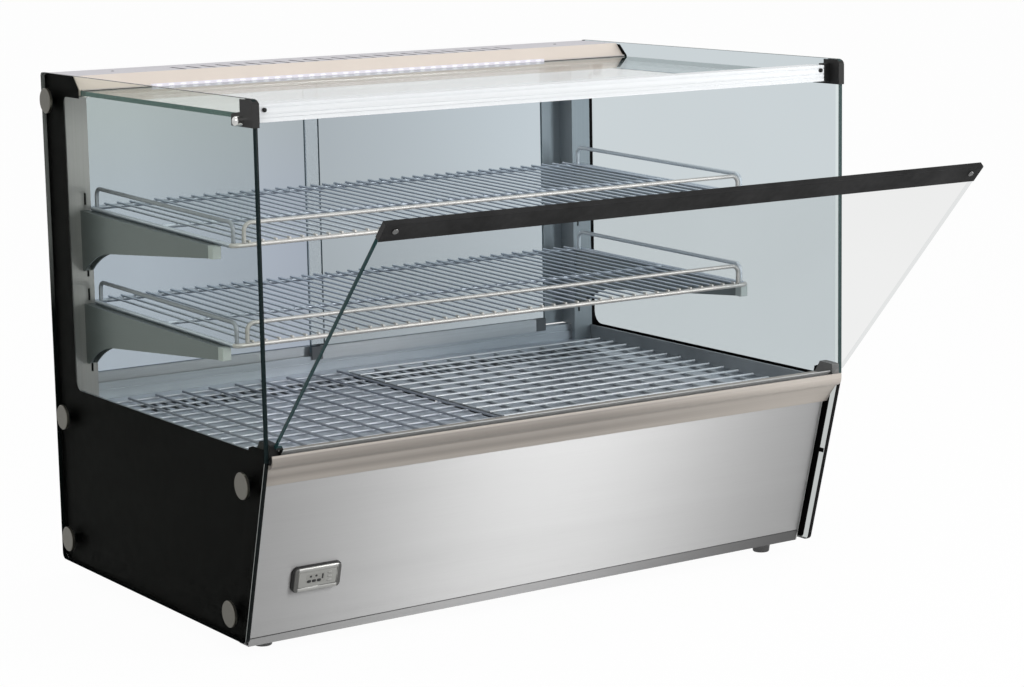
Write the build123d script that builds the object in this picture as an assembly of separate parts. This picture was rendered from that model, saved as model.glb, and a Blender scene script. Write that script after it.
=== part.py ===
"""Heated countertop display case, drawn in millimetres.

X runs to the right as the customer sees it, Y to the rear, Z up. The origin is the middle of the
footprint on the worktop. The front glass is drawn tilted open, and both rear doors slid a little.
"""
from build123d import *
from math import atan2, degrees
import os

# Side glasses
GLASS = 6.0
SIDE_X = 435.0
SIDE_IN = SIDE_X - GLASS
FRONT_Y = -297.0
REAR_Y = 297.0
GLASS_LOW = 22.0
GLASS_TOP = 680.0
KNEE_Z = 256.0
RAKE = 65.0 / 234.0
LOW_CORNER_R = 8.0
TOP_CORNER_R = 5.0

# Black print on the inner faces of the side glasses
PRINT = 0.3
PRINT_IN = SIDE_IN - PRINT
PRINT_EDGE = {-1: 0.2, 1: 2.5}
PRINT_CORNER_R = {-1: (7.8, 4.8), 1: (5.5, 2.5)}
PRINT_FRONT_EDGE = {-1: 1.5, 1: 9.4}
WINDOW_REAR = {-1: 241.0, 1: 270.0}
WINDOW_LOW = {-1: 262.0, 1: 258.5}
WINDOW_R = {-1: 15.0, 1: 18.0}
PRINT_BLOCK_FRONT_TOP = {-1: 209.0, 1: 197.0}
PRINT_BLOCK_FRONT_LOW = {-1: 192.0, 1: 180.0}
PRINT_BLOCK_SLANT_Z = 662.5
PRINT_BLOCK_LOW = 651.0
PRINT_TAB_REAR = -246.0
PRINT_TAB_TOP = 269.0
PRINT_MARK = (149.5, 155.5)

# Stand-off caps that clamp the side glasses
CAP_R = 16.5
CAP_FACE = 441.0
CAP_BACK = 437.0
STEM_R = 4.5
STEM_HOLE_R = 5.0
WASHER_R = 13.0
SPACER_R = 10.0
TOP_CAP = (274.0, 644.0)
LOW_CAPS = [(266.5, 222.0), (266.5, 55.0), (-246.0, 220.0), (-201.5, 54.0)]

# Base
WALL_X = 420.0
SHEET = 1.5
PLATE = 2.0
PAN_LOW = 22.0
DECK_TOP = 238.0
DECK_FRONT = -262.0
BACK_Y = 290.0
PANEL_RECESS = 14.0
PANEL_X = 422.0
PANEL_LOW = (13.2, 20.2)
PANEL_SEAM = (23.4, 35.0)
PANEL_TOP = 222.0
PANEL_FLANGE = 24.0
DECK_SLOT_ROWS = [162.0, 196.5]
DECK_SLOT = (7.0, 28.0)
DECK_SLOT_PITCH = 14.8
DECK_SLOT_COUNT = 49
DECK_GAP = (-33.0, -12.0, -245.0, 211.0)
REAR_VENT = (5.0, 60.0)
REAR_VENT_PITCH = 16.0
REAR_VENT_COUNT = 21
REAR_VENT_Z = 150.0
TRIM_IN = 415.0
TRIM_OUT = 418.0
TRIM_TOP = 257.5
TRIM_FRONT = -261.5
TRIM_REAR = 261.0

# Feet
FOOT_LEFT = -381.0
FOOT_RIGHT = 394.0
FOOT_FRONT = -175.0
FOOT_REAR = 262.0
FOOT_R = 14.5
FOOT_TIP_R = 11.0
FOOT_H = 22.0

# Front lip
LIP_X = 428.4
LIP_FRONT = -305.0
LIP_TOP = 264.0
LIP_FLAT = 262.0
LIP_WALL = 1.5
LIP_GROOVE_REAR = -287.0
LIP_GROOVE_FLOOR = 252.0
LIP_NOSE = 257.5
LIP_ROUND = (-302.3, 250.3)
LIP_CREASE = (-294.5, 246.8)
LIP_CREASE_LOW = (-293.0, 245.4)
LIP_COVE = (-282.2, 232.8)

# Front glass and its hinge
AXIS_Y = -295.0
AXIS_Z = 260.0
OPEN_ANGLE = 42.56
FRONT_HALF = 426.5
FRONT_S0 = -2.0
FRONT_S1 = 412.5
NOTCH_X = 416.0
NOTCH_S = 19.0
HALF_T = GLASS / 2
CHANNEL_T = 4.5
HINGE_S0 = -5.5
HINGE_S1 = 6.5
PIN_R = 3.0
PIN_BORE_R = 3.05
KNUCKLE_R = 6.5
HINGE_BLOCK_IN = 417.0
HINGE_BLOCK_OUT = 428.0
HINGE_BLOCK_FRONT = -299.5
HINGE_BLOCK_REAR = -263.0
HINGE_BLOCK_TOP = 276.5
HANDLE_TOP = 413.5
HANDLE_H = 26.5
HANDLE_T = 4.0
HANDLE_SCREW_S = 403.0
HANDLE_SCREW_IN = 15.0
HANDLE_SCREW_R = 4.0

# Controller
CTRL_X = -339.4
CTRL_Z = 93.5
CTRL_BEZEL = (66.0, 34.0, 6.5)
CTRL_WINDOW = (52.0, 20.5)
CTRL_DISPLAY = (26.0, 13.0, 0.8)
CTRL_DISPLAY_SHIFT = -3.0
CTRL_BODY = (56.0, 27.0, 48.0)

# Front top rail and its corner brackets
RAIL_X = 417.5
RAIL_FRONT = -281.0
RAIL_REAR = -255.0
RAIL_LOW = 651.0
RAIL_TOP = 672.0
TOP_LOW = 655.0
TOP_HIGH = 661.0
TOP_HALF = 427.0
TOP_FRONT = -270.0
TOP_REAR = 190.0
BUMPER_X = 411.4
BUMPER_Z = 665.5
BUMPER_R = 2.6
BUMPER_H = 3.0
BRACKET_OUT = 436.2
BRACKET_IN = 427.5
BRACKET_FRONT = -299.5
KNOB_Y = -273.0
KNOB_Z = 654.0
KNOB_R = 5.8
KNOB_OUT = 448.0

# Top housing with the lamp
HOUSE_X = 428.5
HOUSE_REAR = 296.0
HOUSE_TOP = 679.0
HOUSE_RIDGE = 206.0
HOUSE_FOOT_Y = 188.0
BASE_LOW = 653.0
CHEEK_X = 426.0
CHEEK_LOW = 630.0
LOUVRE = (4.0, 44.0)
LOUVRE_FIRST = -264.0
LOUVRE_PITCH = 22.4
LOUVRE_COUNT = 24
LOUVRE_Y = 236.0
LED_X = (-328.0, 287.0)
LED_FRONT = 183.0

# Rear posts and shelf brackets
POST_IN = 387.0
POST_OUT = 418.0
POST_FRONT = 262.0
POST_REAR = 271.0
SLOT_X = 395.0
SLOT = (3.0, 16.0)
SLOT_PITCH = 32.0
SLOT_FIRST = 288.0
SLOT_COUNT = 8
JAMB_IN = 355.5
JAMB_REAR = 296.0
JAMB_LOW = 260.5
JAMB_TOP = 644.0
ARM_IN = 390.5
ARM_OUT = 402.5
ARM_CAP = 12.0
ARM_REAR_H = 80.0
ARM_MID_H = 48.0
ARM_MID_Y = 182.0
ARM_FRONT_H = 16.0

# Each level: top at the post, forward lean in degrees, front end of the bracket, heights of its hooks
LEVELS = {
    "upper": (497.0, 1.2, -120.0, (480.0, 448.0)),
    "lower": (372.0, 0.85, -137.0, (352.0, 320.0)),
}

# Wire shelves
SHELF_HALF = 391.0
SHELF_FRONT = -150.0
SHELF_REAR = 254.0
SHELF_MID = 45.0
SHELF_GAP = 0.3
FRAME_R = 3.0
FRAME_CORNER_R = 8.0
WIRE_R = 1.45
WIRE_PITCH = 18.4
WIRE_COUNT = 41
WIRE_TAIL = 5.0
WELD = 0.4
FENCE_WELD = 0.15
FENCE_R = 2.7
FENCE_H = 27.0
FENCE_BEND = 10.0
SIDE_FENCE = (-142.0, 246.0)
FRONT_FENCE = 375.0

# Floor grids
GRID_LEFT = (-406.0, -31.0, -238.0, -397.0, 10, True)
GRID_RIGHT = (-26.0, 404.0, -246.0, -20.0, 11, False)
GRID_PITCH = 33.4
GRID_ROWS = 15
GRID_R = 1.6
GRID_CROSS_PITCH = 40.1

# Rear doors and their tracks
DOOR_W = 396.0
DOOR_GLASS = 4.0
DOOR_T = 9.0
TRACK_FRONT = 277.0
TRACK_BACK = 289.0
DOOR_LEFT_X = -421.0
DOOR_RIGHT_X = -54.0
DOOR_RAIL_LOW = 255.0
DOOR_RAIL_TOP = 273.0
DOOR_SLOT_LOW = 265.0
DOOR_GROOVE_TOP = 260.0
DOOR_TOP = 649.0
DOOR_CAP = 17.0
SILL_X = 424.0
SILL_TOP = 250.0
SILL_FRONT = 273.0
RIB_TOP = 259.8
RIB_T = 2.4
HEAD_LOW = 645.0
HEAD_SLOT = 4.8

# Heater, fan and electrics under the deck
FAN_Y = 175.0
FAN_SIZE = 120.0
FAN_H = 25.0
FAN_BORE_R = 56.0
FAN_HUB_R = 19.0
FAN_TIP_R = 53.0
FAN_BLADES = 7
SHAFT_R = 2.0
SHAFT_BORE_R = 2.05
HEATER_R = 4.0
HEATER_X = 300.0
HEATER_FRONT = -150.0
HEATER_REAR = 60.0
HEATER_Z = 205.0
GLAND_X = -330.0
GLAND_Z = 70.0
SWITCH_X = -250.0
SWITCH_Z = 70.0
ROCKER_TILT = 8.0
ROCKER_Y = 288.0


def block(x0, x1, y0, y1, z0, z1):
    """Box between two corners."""
    return Pos((x0 + x1) / 2, (y0 + y1) / 2, (z0 + z1) / 2) * Box(x1 - x0, y1 - y0, z1 - z0)


def outline(points, radii=()):
    """Closed flat outline with some of its corners rounded, as pairs of corner and radius."""
    face = make_face(Polyline(*points, close=True))
    for corner, radius in radii:
        near = face.vertices().sort_by_distance((corner[0], corner[1], 0))[0]
        face = fillet(near, radius)
    return face


def along_x(face, x0, x1):
    """Outline drawn in Y and Z, extruded from x0 to x1."""
    return extrude(Plane.YZ.offset(x0) * face, x1 - x0, dir=(1, 0, 0))


def along_y(face, y0, y1):
    """Outline drawn in X and Z, extruded from y0 to y1."""
    return extrude(Plane.XZ.offset(-y1) * face, y1 - y0)


def along_z(face, z0, z1):
    """Outline drawn in X and Y, extruded from z0 to z1."""
    return extrude(Pos(0, 0, z0) * face, z1 - z0, dir=(0, 0, 1))


def rod_x(x0, x1, y, z, radius):
    """Round bar along X."""
    return Pos((x0 + x1) / 2, y, z) * Rot(0, 90, 0) * Cylinder(radius, abs(x1 - x0))


def rod_y(y0, y1, x, z, radius):
    """Round bar along Y."""
    return Pos(x, (y0 + y1) / 2, z) * Rot(90, 0, 0) * Cylinder(radius, abs(y1 - y0))


def rod_z(z0, z1, x, y, radius):
    """Round bar along Z."""
    return Pos(x, y, (z0 + z1) / 2) * Cylinder(radius, abs(z1 - z0))


def mirrored(shape):
    """The same shape on the other side of the case."""
    return mirror(shape, about=Plane.YZ)


def save(name, *shapes):
    """Write one piece, or a group of like pieces that do not touch."""
    solids = [solid for shape in shapes for solid in shape.solids()]
    export_step(solids[0] if len(solids) == 1 else Compound(solids), f"parts/{name}.step")


def raked(z):
    """Y of the raked front edge of the side glasses at height z."""
    return FRONT_Y + (KNEE_Z - z) * RAKE


def panel_y(z):
    """Y of the front panel's outer face at height z."""
    return raked(z) + PANEL_RECESS


# Side glasses, print and stand-offs
def side_glass():
    """Right-hand pane with its bolt holes."""
    knee = (FRONT_Y, KNEE_Z)
    low_front = (raked(GLASS_LOW), GLASS_LOW)
    low_rear = (REAR_Y, GLASS_LOW)
    top_rear = (REAR_Y, GLASS_TOP)
    top_front = (FRONT_Y, GLASS_TOP)
    face = outline(
        [knee, low_front, low_rear, top_rear, top_front],
        [(low_front, LOW_CORNER_R), (low_rear, LOW_CORNER_R),
         (top_rear, TOP_CORNER_R), (top_front, TOP_CORNER_R)],
    )
    pane = along_x(face, SIDE_IN, SIDE_X)
    for y, z in LOW_CAPS + [TOP_CAP]:
        pane -= rod_x(SIDE_IN - 1, SIDE_X + 1, y, z, STEM_HOLE_R)
    return pane - rod_x(SIDE_IN - 1, SIDE_X + 1, KNOB_Y, KNOB_Z, STEM_HOLE_R - 1)


def side_print(side):
    """Black border round the window of one pane, with a tab that hides the hinge."""
    rear = REAR_Y - PRINT_EDGE[side]
    low = GLASS_LOW + PRINT_EDGE[side]
    top = GLASS_TOP - PRINT_EDGE[side]
    low_r, top_r = PRINT_CORNER_R[side]
    window_low = (WINDOW_REAR[side], WINDOW_LOW[side])
    window_top = (WINDOW_REAR[side], PRINT_BLOCK_LOW)
    knee_z = KNEE_Z - 2
    edge = PRINT_FRONT_EDGE[side]
    front = raked(knee_z) + edge
    points = [
        (raked(low) + edge, low),
        (rear, low),
        (rear, top),
        (PRINT_BLOCK_FRONT_TOP[side], top),
        (PRINT_BLOCK_FRONT_LOW[side], PRINT_BLOCK_SLANT_Z),
        (PRINT_BLOCK_FRONT_LOW[side], PRINT_BLOCK_LOW),
        window_top,
        window_low,
        (PRINT_TAB_REAR, WINDOW_LOW[side]),
        (PRINT_TAB_REAR - 2, PRINT_TAB_TOP - 3),
        (PRINT_TAB_REAR - 12, PRINT_TAB_TOP),
        (front, PRINT_TAB_TOP),
        (front, knee_z),
    ]
    rounded = [(window_low, WINDOW_R[side]), (window_top, 9.0), (points[0], low_r), (points[1], low_r),
               (points[2], top_r)]
    skin = along_x(outline(points, rounded), PRINT_IN, SIDE_IN)
    if side > 0:
        z0, z1 = PRINT_MARK
        mark = [(raked(z0) + 1, z0), (raked(z0) + edge + 1, z0), (raked(z1) + edge + 1, z1), (raked(z1) + 1, z1)]
        skin += along_x(outline(mark), PRINT_IN, SIDE_IN)
    for y, z in LOW_CAPS + [TOP_CAP]:
        skin -= rod_x(PRINT_IN - 1, SIDE_IN + 1, y, z, STEM_HOLE_R)
    return skin if side > 0 else mirrored(skin)


def standoff_caps():
    """Right-hand caps: a flat disc with a stem through the glass."""
    caps = []
    for y, z in LOW_CAPS + [TOP_CAP]:
        inner = CHEEK_X - 1 if (y, z) == TOP_CAP else WALL_X - PLATE
        disc = rod_x(CAP_BACK, CAP_FACE, y, z, CAP_R)
        disc = chamfer(disc.faces().sort_by(Axis.X)[-1].edges(), 0.8)
        caps.append(disc + rod_x(inner, CAP_BACK + 0.5, y, z, STEM_R))
    return caps


def standoff_spacers():
    """Right-hand dark washers outside the glass and sleeves inside it."""
    rings = []
    for y, z in LOW_CAPS + [TOP_CAP]:
        inner = CHEEK_X if (y, z) == TOP_CAP else WALL_X
        hole = rod_x(inner - 1, CAP_BACK + 1, y, z, STEM_R + 0.1)
        rings.append(rod_x(SIDE_X, CAP_BACK, y, z, WASHER_R) - hole)
        rings.append(rod_x(inner, PRINT_IN, y, z, SPACER_R) - hole)
    return rings


# Base
def base_pan():
    """Black folded tray with raked cheeks."""
    wall = [
        (panel_y(PAN_LOW) + SHEET, PAN_LOW),
        (BACK_Y, PAN_LOW),
        (BACK_Y, DECK_TOP - PLATE),
        (DECK_FRONT, DECK_TOP - PLATE),
        (DECK_FRONT, PANEL_TOP),
        (panel_y(PANEL_TOP) + SHEET, PANEL_TOP),
    ]
    cheek = along_x(outline(wall), WALL_X - PLATE, WALL_X)
    for y, z in LOW_CAPS:
        cheek -= rod_x(WALL_X - PLATE - 1, WALL_X + 1, y, z, STEM_R + 0.1)
    front = panel_y(PAN_LOW) + SHEET
    floor = block(-WALL_X + PLATE, WALL_X - PLATE, front, BACK_Y, PAN_LOW, PAN_LOW + PLATE)
    return floor + cheek + mirrored(cheek)


PANEL_UP = Vector(0, -RAKE, 1).normalized()
PANEL_OUT = Vector(0, -PANEL_UP.Z, PANEL_UP.Y)
CTRL_PLANE = Plane(origin=(CTRL_X, panel_y(CTRL_Z), CTRL_Z), x_dir=(1, 0, 0), z_dir=PANEL_OUT)


def front_panel():
    """Raked steel front with a folded foot, a seam line and the controller's cut-out."""
    left, right = PANEL_LOW
    bend = (panel_y(0), 0.0)
    crest = (panel_y(PANEL_TOP), PANEL_TOP)
    face = outline([bend, crest, (crest[0] + SHEET, PANEL_TOP), (bend[0] + SHEET, 0.0)])
    sheet = along_x(face, -PANEL_X, PANEL_X)
    below = [(-PANEL_X - 1, -1.0), (PANEL_X + 1, -1.0), (PANEL_X + 1, right), (-PANEL_X - 1, left)]
    sheet -= along_y(outline(below), crest[0] - 1, bend[0] + PANEL_FLANGE)
    fold = [(-PANEL_X, left), (PANEL_X, right), (PANEL_X, right + SHEET), (-PANEL_X, left + SHEET)]
    reach = [bend, crest, (crest[0] + PANEL_FLANGE, PANEL_TOP), (bend[0] + PANEL_FLANGE, 0.0)]
    foot = along_y(outline(fold), crest[0], bend[0] + PANEL_FLANGE)
    sheet += foot & along_x(outline(reach), -PANEL_X, PANEL_X)
    low, high = PANEL_SEAM
    middle = (low + high) / 2
    seam = Plane(origin=(0, panel_y(middle), middle), x_dir=(1, 0, 0), z_dir=PANEL_OUT)
    tilt = degrees(atan2(high - low, 2 * PANEL_X * PANEL_UP.Z))
    sheet -= seam * Rot(0, 0, tilt) * Box(2 * PANEL_X + 4, 1.2, 1.2)
    margin = 0.6
    return sheet - CTRL_PLANE * Box(CTRL_BODY[0] + margin, CTRL_BODY[1] + margin, 4 * PLATE)


def deck():
    """Floor plate with two rows of warm-air slots and a gap between its halves."""
    plate = block(-WALL_X + PLATE, WALL_X - PLATE, DECK_FRONT, BACK_Y + PLATE, DECK_TOP - PLATE, DECK_TOP)
    cuts = [block(*DECK_GAP, DECK_TOP - 2 * PLATE, DECK_TOP + 1)]
    first = -(DECK_SLOT_COUNT - 1) / 2 * DECK_SLOT_PITCH
    for i in range(DECK_SLOT_COUNT):
        x = first + i * DECK_SLOT_PITCH
        if DECK_GAP[0] - DECK_SLOT[0] < x < DECK_GAP[1] + DECK_SLOT[0]:
            continue
        cuts += [Pos(x, y, DECK_TOP) * Box(*DECK_SLOT, 3 * PLATE) for y in DECK_SLOT_ROWS]
    return plate.cut(*cuts)


def rear_panel():
    """Back sheet with vents, the gland's hole and the switch's cut-out."""
    z0 = PAN_LOW + PLATE
    sheet = block(-WALL_X + PLATE, WALL_X - PLATE, BACK_Y, BACK_Y + PLATE, z0, DECK_TOP - PLATE)
    first = -(REAR_VENT_COUNT - 1) / 2 * REAR_VENT_PITCH
    for i in range(REAR_VENT_COUNT):
        vent = Box(REAR_VENT[0], 4 * PLATE, REAR_VENT[1])
        sheet -= Pos(first + i * REAR_VENT_PITCH, BACK_Y, REAR_VENT_Z) * vent
    sheet -= rod_y(BACK_Y - 1, BACK_Y + PLATE + 1, GLAND_X, GLAND_Z, 8.2)
    return sheet - Pos(SWITCH_X, BACK_Y, SWITCH_Z) * Box(27.4, 4 * PLATE, 19.4)


def front_lip():
    """Steel lip that carries the hinge line: a round nose over a cove, hollow inside."""
    inner = LIP_FRONT + LIP_WALL
    foot = (panel_y(PANEL_TOP) - 1, PANEL_TOP)
    back = Polyline(
        (LIP_FRONT, LIP_NOSE), (LIP_FRONT, LIP_TOP), (inner, LIP_TOP), (inner, LIP_GROOVE_FLOOR + 4.5),
        (inner + 3.5, LIP_GROOVE_FLOOR), (LIP_GROOVE_REAR, LIP_GROOVE_FLOOR), (LIP_GROOVE_REAR, LIP_FLAT),
        (DECK_FRONT, LIP_FLAT), (DECK_FRONT, PANEL_TOP), foot,
    )
    cove = ThreePointArc(foot, LIP_COVE, LIP_CREASE_LOW)
    crease = Line(LIP_CREASE_LOW, LIP_CREASE)
    nose = ThreePointArc(LIP_CREASE, LIP_ROUND, (LIP_FRONT, LIP_NOSE))
    bar = along_x(make_face([back, cove, crease, nose]), -LIP_X, LIP_X)
    chamber = outline([(-286.0, 247.5), (-266.0, 247.5), (-266.0, 226.0), (-273.0, 226.0),
                       (-279.5, 234.5), (-286.0, 243.5)])
    return bar - along_x(chamber, -LIP_X - 1, LIP_X + 1)


def side_trim():
    """Right-hand upright strip along the floor's edge."""
    return block(TRIM_IN, TRIM_OUT, TRIM_FRONT, TRIM_REAR, DECK_TOP, TRIM_TOP)


def foot():
    """Tapered foot standing at the origin."""
    body = Pos(0, 0, FOOT_H / 2) * Cone(FOOT_TIP_R, FOOT_R, FOOT_H)
    return fillet(body.faces().sort_by(Axis.Z)[0].edges(), 1.5)


# Rear sill, doors and posts
def rear_sill():
    """Bottom door track with two ribs."""
    sill = block(-SILL_X, SILL_X, SILL_FRONT, HOUSE_REAR, DECK_TOP, SILL_TOP)
    for y in (TRACK_FRONT, TRACK_BACK):
        sill += block(-SILL_X, SILL_X, y - RIB_T / 2, y + RIB_T / 2, SILL_TOP - 1, RIB_TOP)
    return sill


def door_section(x0, x1, y):
    """Grooved door rail between two X positions."""
    body = block(x0, x1, y - DOOR_T / 2, y + DOOR_T / 2, DOOR_RAIL_LOW, DOOR_RAIL_TOP)
    half = DOOR_GLASS / 2
    body -= block(x0 - 1, x1 + 1, y - half, y + half, DOOR_RAIL_LOW - 1, DOOR_GROOVE_TOP)
    return body - block(x0 - 1, x1 + 1, y - half, y + half, DOOR_SLOT_LOW, DOOR_RAIL_TOP + 1)


def save_door(name, x0, y):
    """One sliding door: glass, bottom rail and the rail's two end caps."""
    x1 = x0 + DOOR_W
    half = DOOR_GLASS / 2
    save(f"{name}_glass", block(x0, x1, y - half, y + half, DOOR_SLOT_LOW, DOOR_TOP))
    save(f"{name}_rail", door_section(x0 + DOOR_CAP, x1 - DOOR_CAP, y))
    save(f"{name}_caps", door_section(x0, x0 + DOOR_CAP, y), door_section(x1 - DOOR_CAP, x1, y))


def post():
    """Right-hand slotted post, a shallow channel open to the rear."""
    channel = block(POST_IN, POST_OUT, POST_FRONT, POST_REAR, DECK_TOP, BASE_LOW)
    inside = (POST_IN + SHEET, POST_OUT - SHEET, POST_FRONT + SHEET, POST_REAR + 1)
    channel -= block(*inside, DECK_TOP - 1, BASE_LOW + 1)
    for i in range(SLOT_COUNT):
        channel -= Pos(SLOT_X, POST_FRONT, SLOT_FIRST + i * SLOT_PITCH) * Box(SLOT[0], 3 * SHEET, SLOT[1])
    return channel


def rear_jamb():
    """Sheet angle behind the right-hand post that closes the corner beside the doors."""
    side = block(POST_IN, POST_IN + SHEET, POST_REAR - 1, JAMB_REAR, JAMB_LOW, JAMB_TOP)
    return side + block(JAMB_IN, POST_IN + SHEET, JAMB_REAR - SHEET, JAMB_REAR, JAMB_LOW, JAMB_TOP)


def leaned(shape, top, lean):
    """Tip a level bracket or shelf forward from the front of its post."""
    pivot = Pos(0, POST_FRONT, top)
    return pivot * Rot(lean, 0, 0) * pivot.inverse() * shape


def shelf_arm(top, lean, end, hooks):
    """Right-hand cantilever bracket: folded channel with two hooks in the post's slots."""
    front = end + ARM_CAP
    back = POST_FRONT + 4
    low = top - ARM_REAR_H
    edge = [
        Polyline((ARM_MID_Y, top - ARM_MID_H), (front, top - ARM_FRONT_H), (front, top), (back, top),
                 (back, low), (POST_FRONT - 8, low)),
        ThreePointArc((POST_FRONT - 8, low), (POST_FRONT - 40, low + 20), (ARM_MID_Y, top - ARM_MID_H)),
    ]
    arm = along_x(make_face(edge), ARM_IN, ARM_OUT)
    arm -= block(ARM_IN + SHEET, ARM_OUT - SHEET, front - 1, POST_FRONT - 4, low - 20, top - SHEET)
    arm = leaned(arm, top, lean) - block(ARM_IN - 1, ARM_OUT + 1, POST_FRONT, back + 9, low - 9, top + 9)
    tongue = (SLOT_X - 1.2, SLOT_X + 1.2)
    for z in hooks:
        arm += block(*tongue, POST_FRONT - 1, POST_FRONT + 5, z - 6, z + 6)
        arm += block(*tongue, POST_FRONT + SHEET + 0.3, POST_FRONT + 5, z - 11, z)
    return arm


def arm_cap(top, lean, end):
    """Plastic end cap with a plug inside the channel."""
    front = end + ARM_CAP
    cap = block(ARM_IN, ARM_OUT, end, front, top - ARM_FRONT_H, top)
    cap = fillet(cap.faces().sort_by(Axis.Y)[0].edges(), 1.5)
    inside = SHEET + 0.2
    plug = block(ARM_IN + inside, ARM_OUT - inside, front - 1, front + 12, top - 14, top - inside)
    return leaned(cap + plug, top, lean)


# Wire shelves and floor grids
def swept(path, radius):
    """Round wire along a path."""
    return sweep(Plane(origin=path @ 0, z_dir=path % 0) * Circle(radius), path)


def wire_shelf(top, lean):
    """Welded shelf: rim, cross wire and the fine wires on top."""
    z = top + FRAME_R + SHELF_GAP
    rim = FilletPolyline(
        (SHELF_HALF, SHELF_FRONT, z), (SHELF_HALF, SHELF_REAR, z),
        (-SHELF_HALF, SHELF_REAR, z), (-SHELF_HALF, SHELF_FRONT, z),
        radius=FRAME_CORNER_R, close=True,
    )
    wires = [rod_x(-SHELF_HALF, SHELF_HALF, SHELF_MID, z, FRAME_R - 0.5)]
    fine_z = z + FRAME_R + WIRE_R - WELD
    first = -(WIRE_COUNT - 1) / 2 * WIRE_PITCH
    for i in range(WIRE_COUNT):
        x = first + i * WIRE_PITCH
        wires.append(rod_y(SHELF_FRONT - 2, SHELF_REAR + WIRE_TAIL, x, fine_z, WIRE_R))
    return leaned(swept(rim, FRAME_R).fuse(*wires), top, lean)


def shelf_fences(top, lean):
    """Three bent wires on the rim: one inside each end and one on the front."""
    rim_z = top + SHELF_GAP + FRAME_R
    foot_z = rim_z + FRAME_R - FENCE_WELD
    z = rim_z + FENCE_H
    y0, y1 = SIDE_FENCE
    x = SHELF_HALF - FRAME_R - FENCE_R + FENCE_WELD
    side = FilletPolyline((x, y0, rim_z), (x, y0, z), (x, y1, z), (x, y1, rim_z), radius=FENCE_BEND)
    front = FilletPolyline(
        (-FRONT_FENCE, SHELF_FRONT, foot_z), (-FRONT_FENCE, SHELF_FRONT, z),
        (FRONT_FENCE, SHELF_FRONT, z), (FRONT_FENCE, SHELF_FRONT, foot_z),
        radius=FENCE_BEND,
    )
    flank = leaned(swept(side, FENCE_R), top, lean)
    return [flank, mirrored(flank), leaned(swept(front, FENCE_R), top, lean)]


def floor_grid(x0, x1, y0, first, count, cross_on_top):
    """Welded floor grid: long wires from side to side, with cross wires above or below them."""
    low = DECK_TOP + SHELF_GAP
    row_z = low + GRID_R + (0 if cross_on_top else 2 * GRID_R - WELD)
    cross_z = low + GRID_R + (2 * GRID_R - WELD if cross_on_top else 0)
    y1 = y0 + (GRID_ROWS - 1) * GRID_PITCH
    rows = [rod_x(x0, x1, y0 + i * GRID_PITCH, row_z, GRID_R) for i in range(GRID_ROWS)]
    cross = [rod_y(y0 - 4, y1 + 4, first + i * GRID_CROSS_PITCH, cross_z, GRID_R) for i in range(count)]
    return rows[0].fuse(*rows[1:], *cross)


# Top glass, front rail and corner brackets
def top_rail():
    """Front rail with a slot for the top glass and fine lines on its face."""
    rail = block(-RAIL_X, RAIL_X, RAIL_FRONT, RAIL_REAR, RAIL_LOW, RAIL_TOP)
    rail -= block(-RAIL_X - 1, RAIL_X + 1, TOP_FRONT - 0.2, RAIL_REAR + 1, TOP_LOW - 0.2, TOP_HIGH + 0.2)
    for z in (655.5, 660.0, 667.5):
        rail -= block(-RAIL_X - 1, RAIL_X + 1, RAIL_FRONT - 1, RAIL_FRONT + 0.7, z, z + 0.9)
    for x in (-BUMPER_X, BUMPER_X):
        rail -= rod_y(RAIL_FRONT - 1, RAIL_FRONT + 5, x, BUMPER_Z, 2.1)
    return rail


def rail_bumper(x):
    """Rubber button against which the closed front glass rests."""
    head = rod_y(RAIL_FRONT - BUMPER_H, RAIL_FRONT, x, BUMPER_Z, BUMPER_R)
    head = fillet(head.faces().sort_by(Axis.Y)[0].edges(), 1.0)
    return head + rod_y(RAIL_FRONT - 1, RAIL_FRONT + 4.5, x, BUMPER_Z, 2.0)


def corner_bracket():
    """Right-hand plastic clip over the glass corner, with the block that ends the rail."""
    corner = (BRACKET_FRONT, 679.0)
    neck = outline(
        [(BRACKET_FRONT, 647.0), (-246.0, 647.0), (-246.0, 661.0), (-268.0, 664.0), (-268.0, 679.0), corner],
        [(corner, 7.0), ((-246.0, 661.0), 4.0)],
    )
    outer = along_x(neck, SIDE_X, BRACKET_OUT)
    inner = along_x(neck, BRACKET_IN, SIDE_IN)
    wrap = along_x(neck, BRACKET_IN, BRACKET_OUT)
    wrap &= block(BRACKET_IN, BRACKET_OUT, BRACKET_FRONT - 1, FRONT_Y, 640.0, 680.0)
    end = block(RAIL_X, BRACKET_IN + 0.5, RAIL_FRONT, TOP_FRONT - 0.5, 650.0, 674.0)
    clip = outer + inner + wrap + end
    clip -= rod_x(RAIL_X + 2, BRACKET_OUT + 1, KNOB_Y, KNOB_Z, 3.1)
    return clip


def corner_screw():
    """Right-hand chrome screw with a domed head."""
    head = rod_x(BRACKET_OUT, KNOB_OUT, KNOB_Y, KNOB_Z, KNOB_R)
    head = fillet(head.faces().sort_by(Axis.X)[-1].edges(), 4.0)
    return head + rod_x(RAIL_X + 3, BRACKET_OUT + 1, KNOB_Y, KNOB_Z, 3.0)


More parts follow.
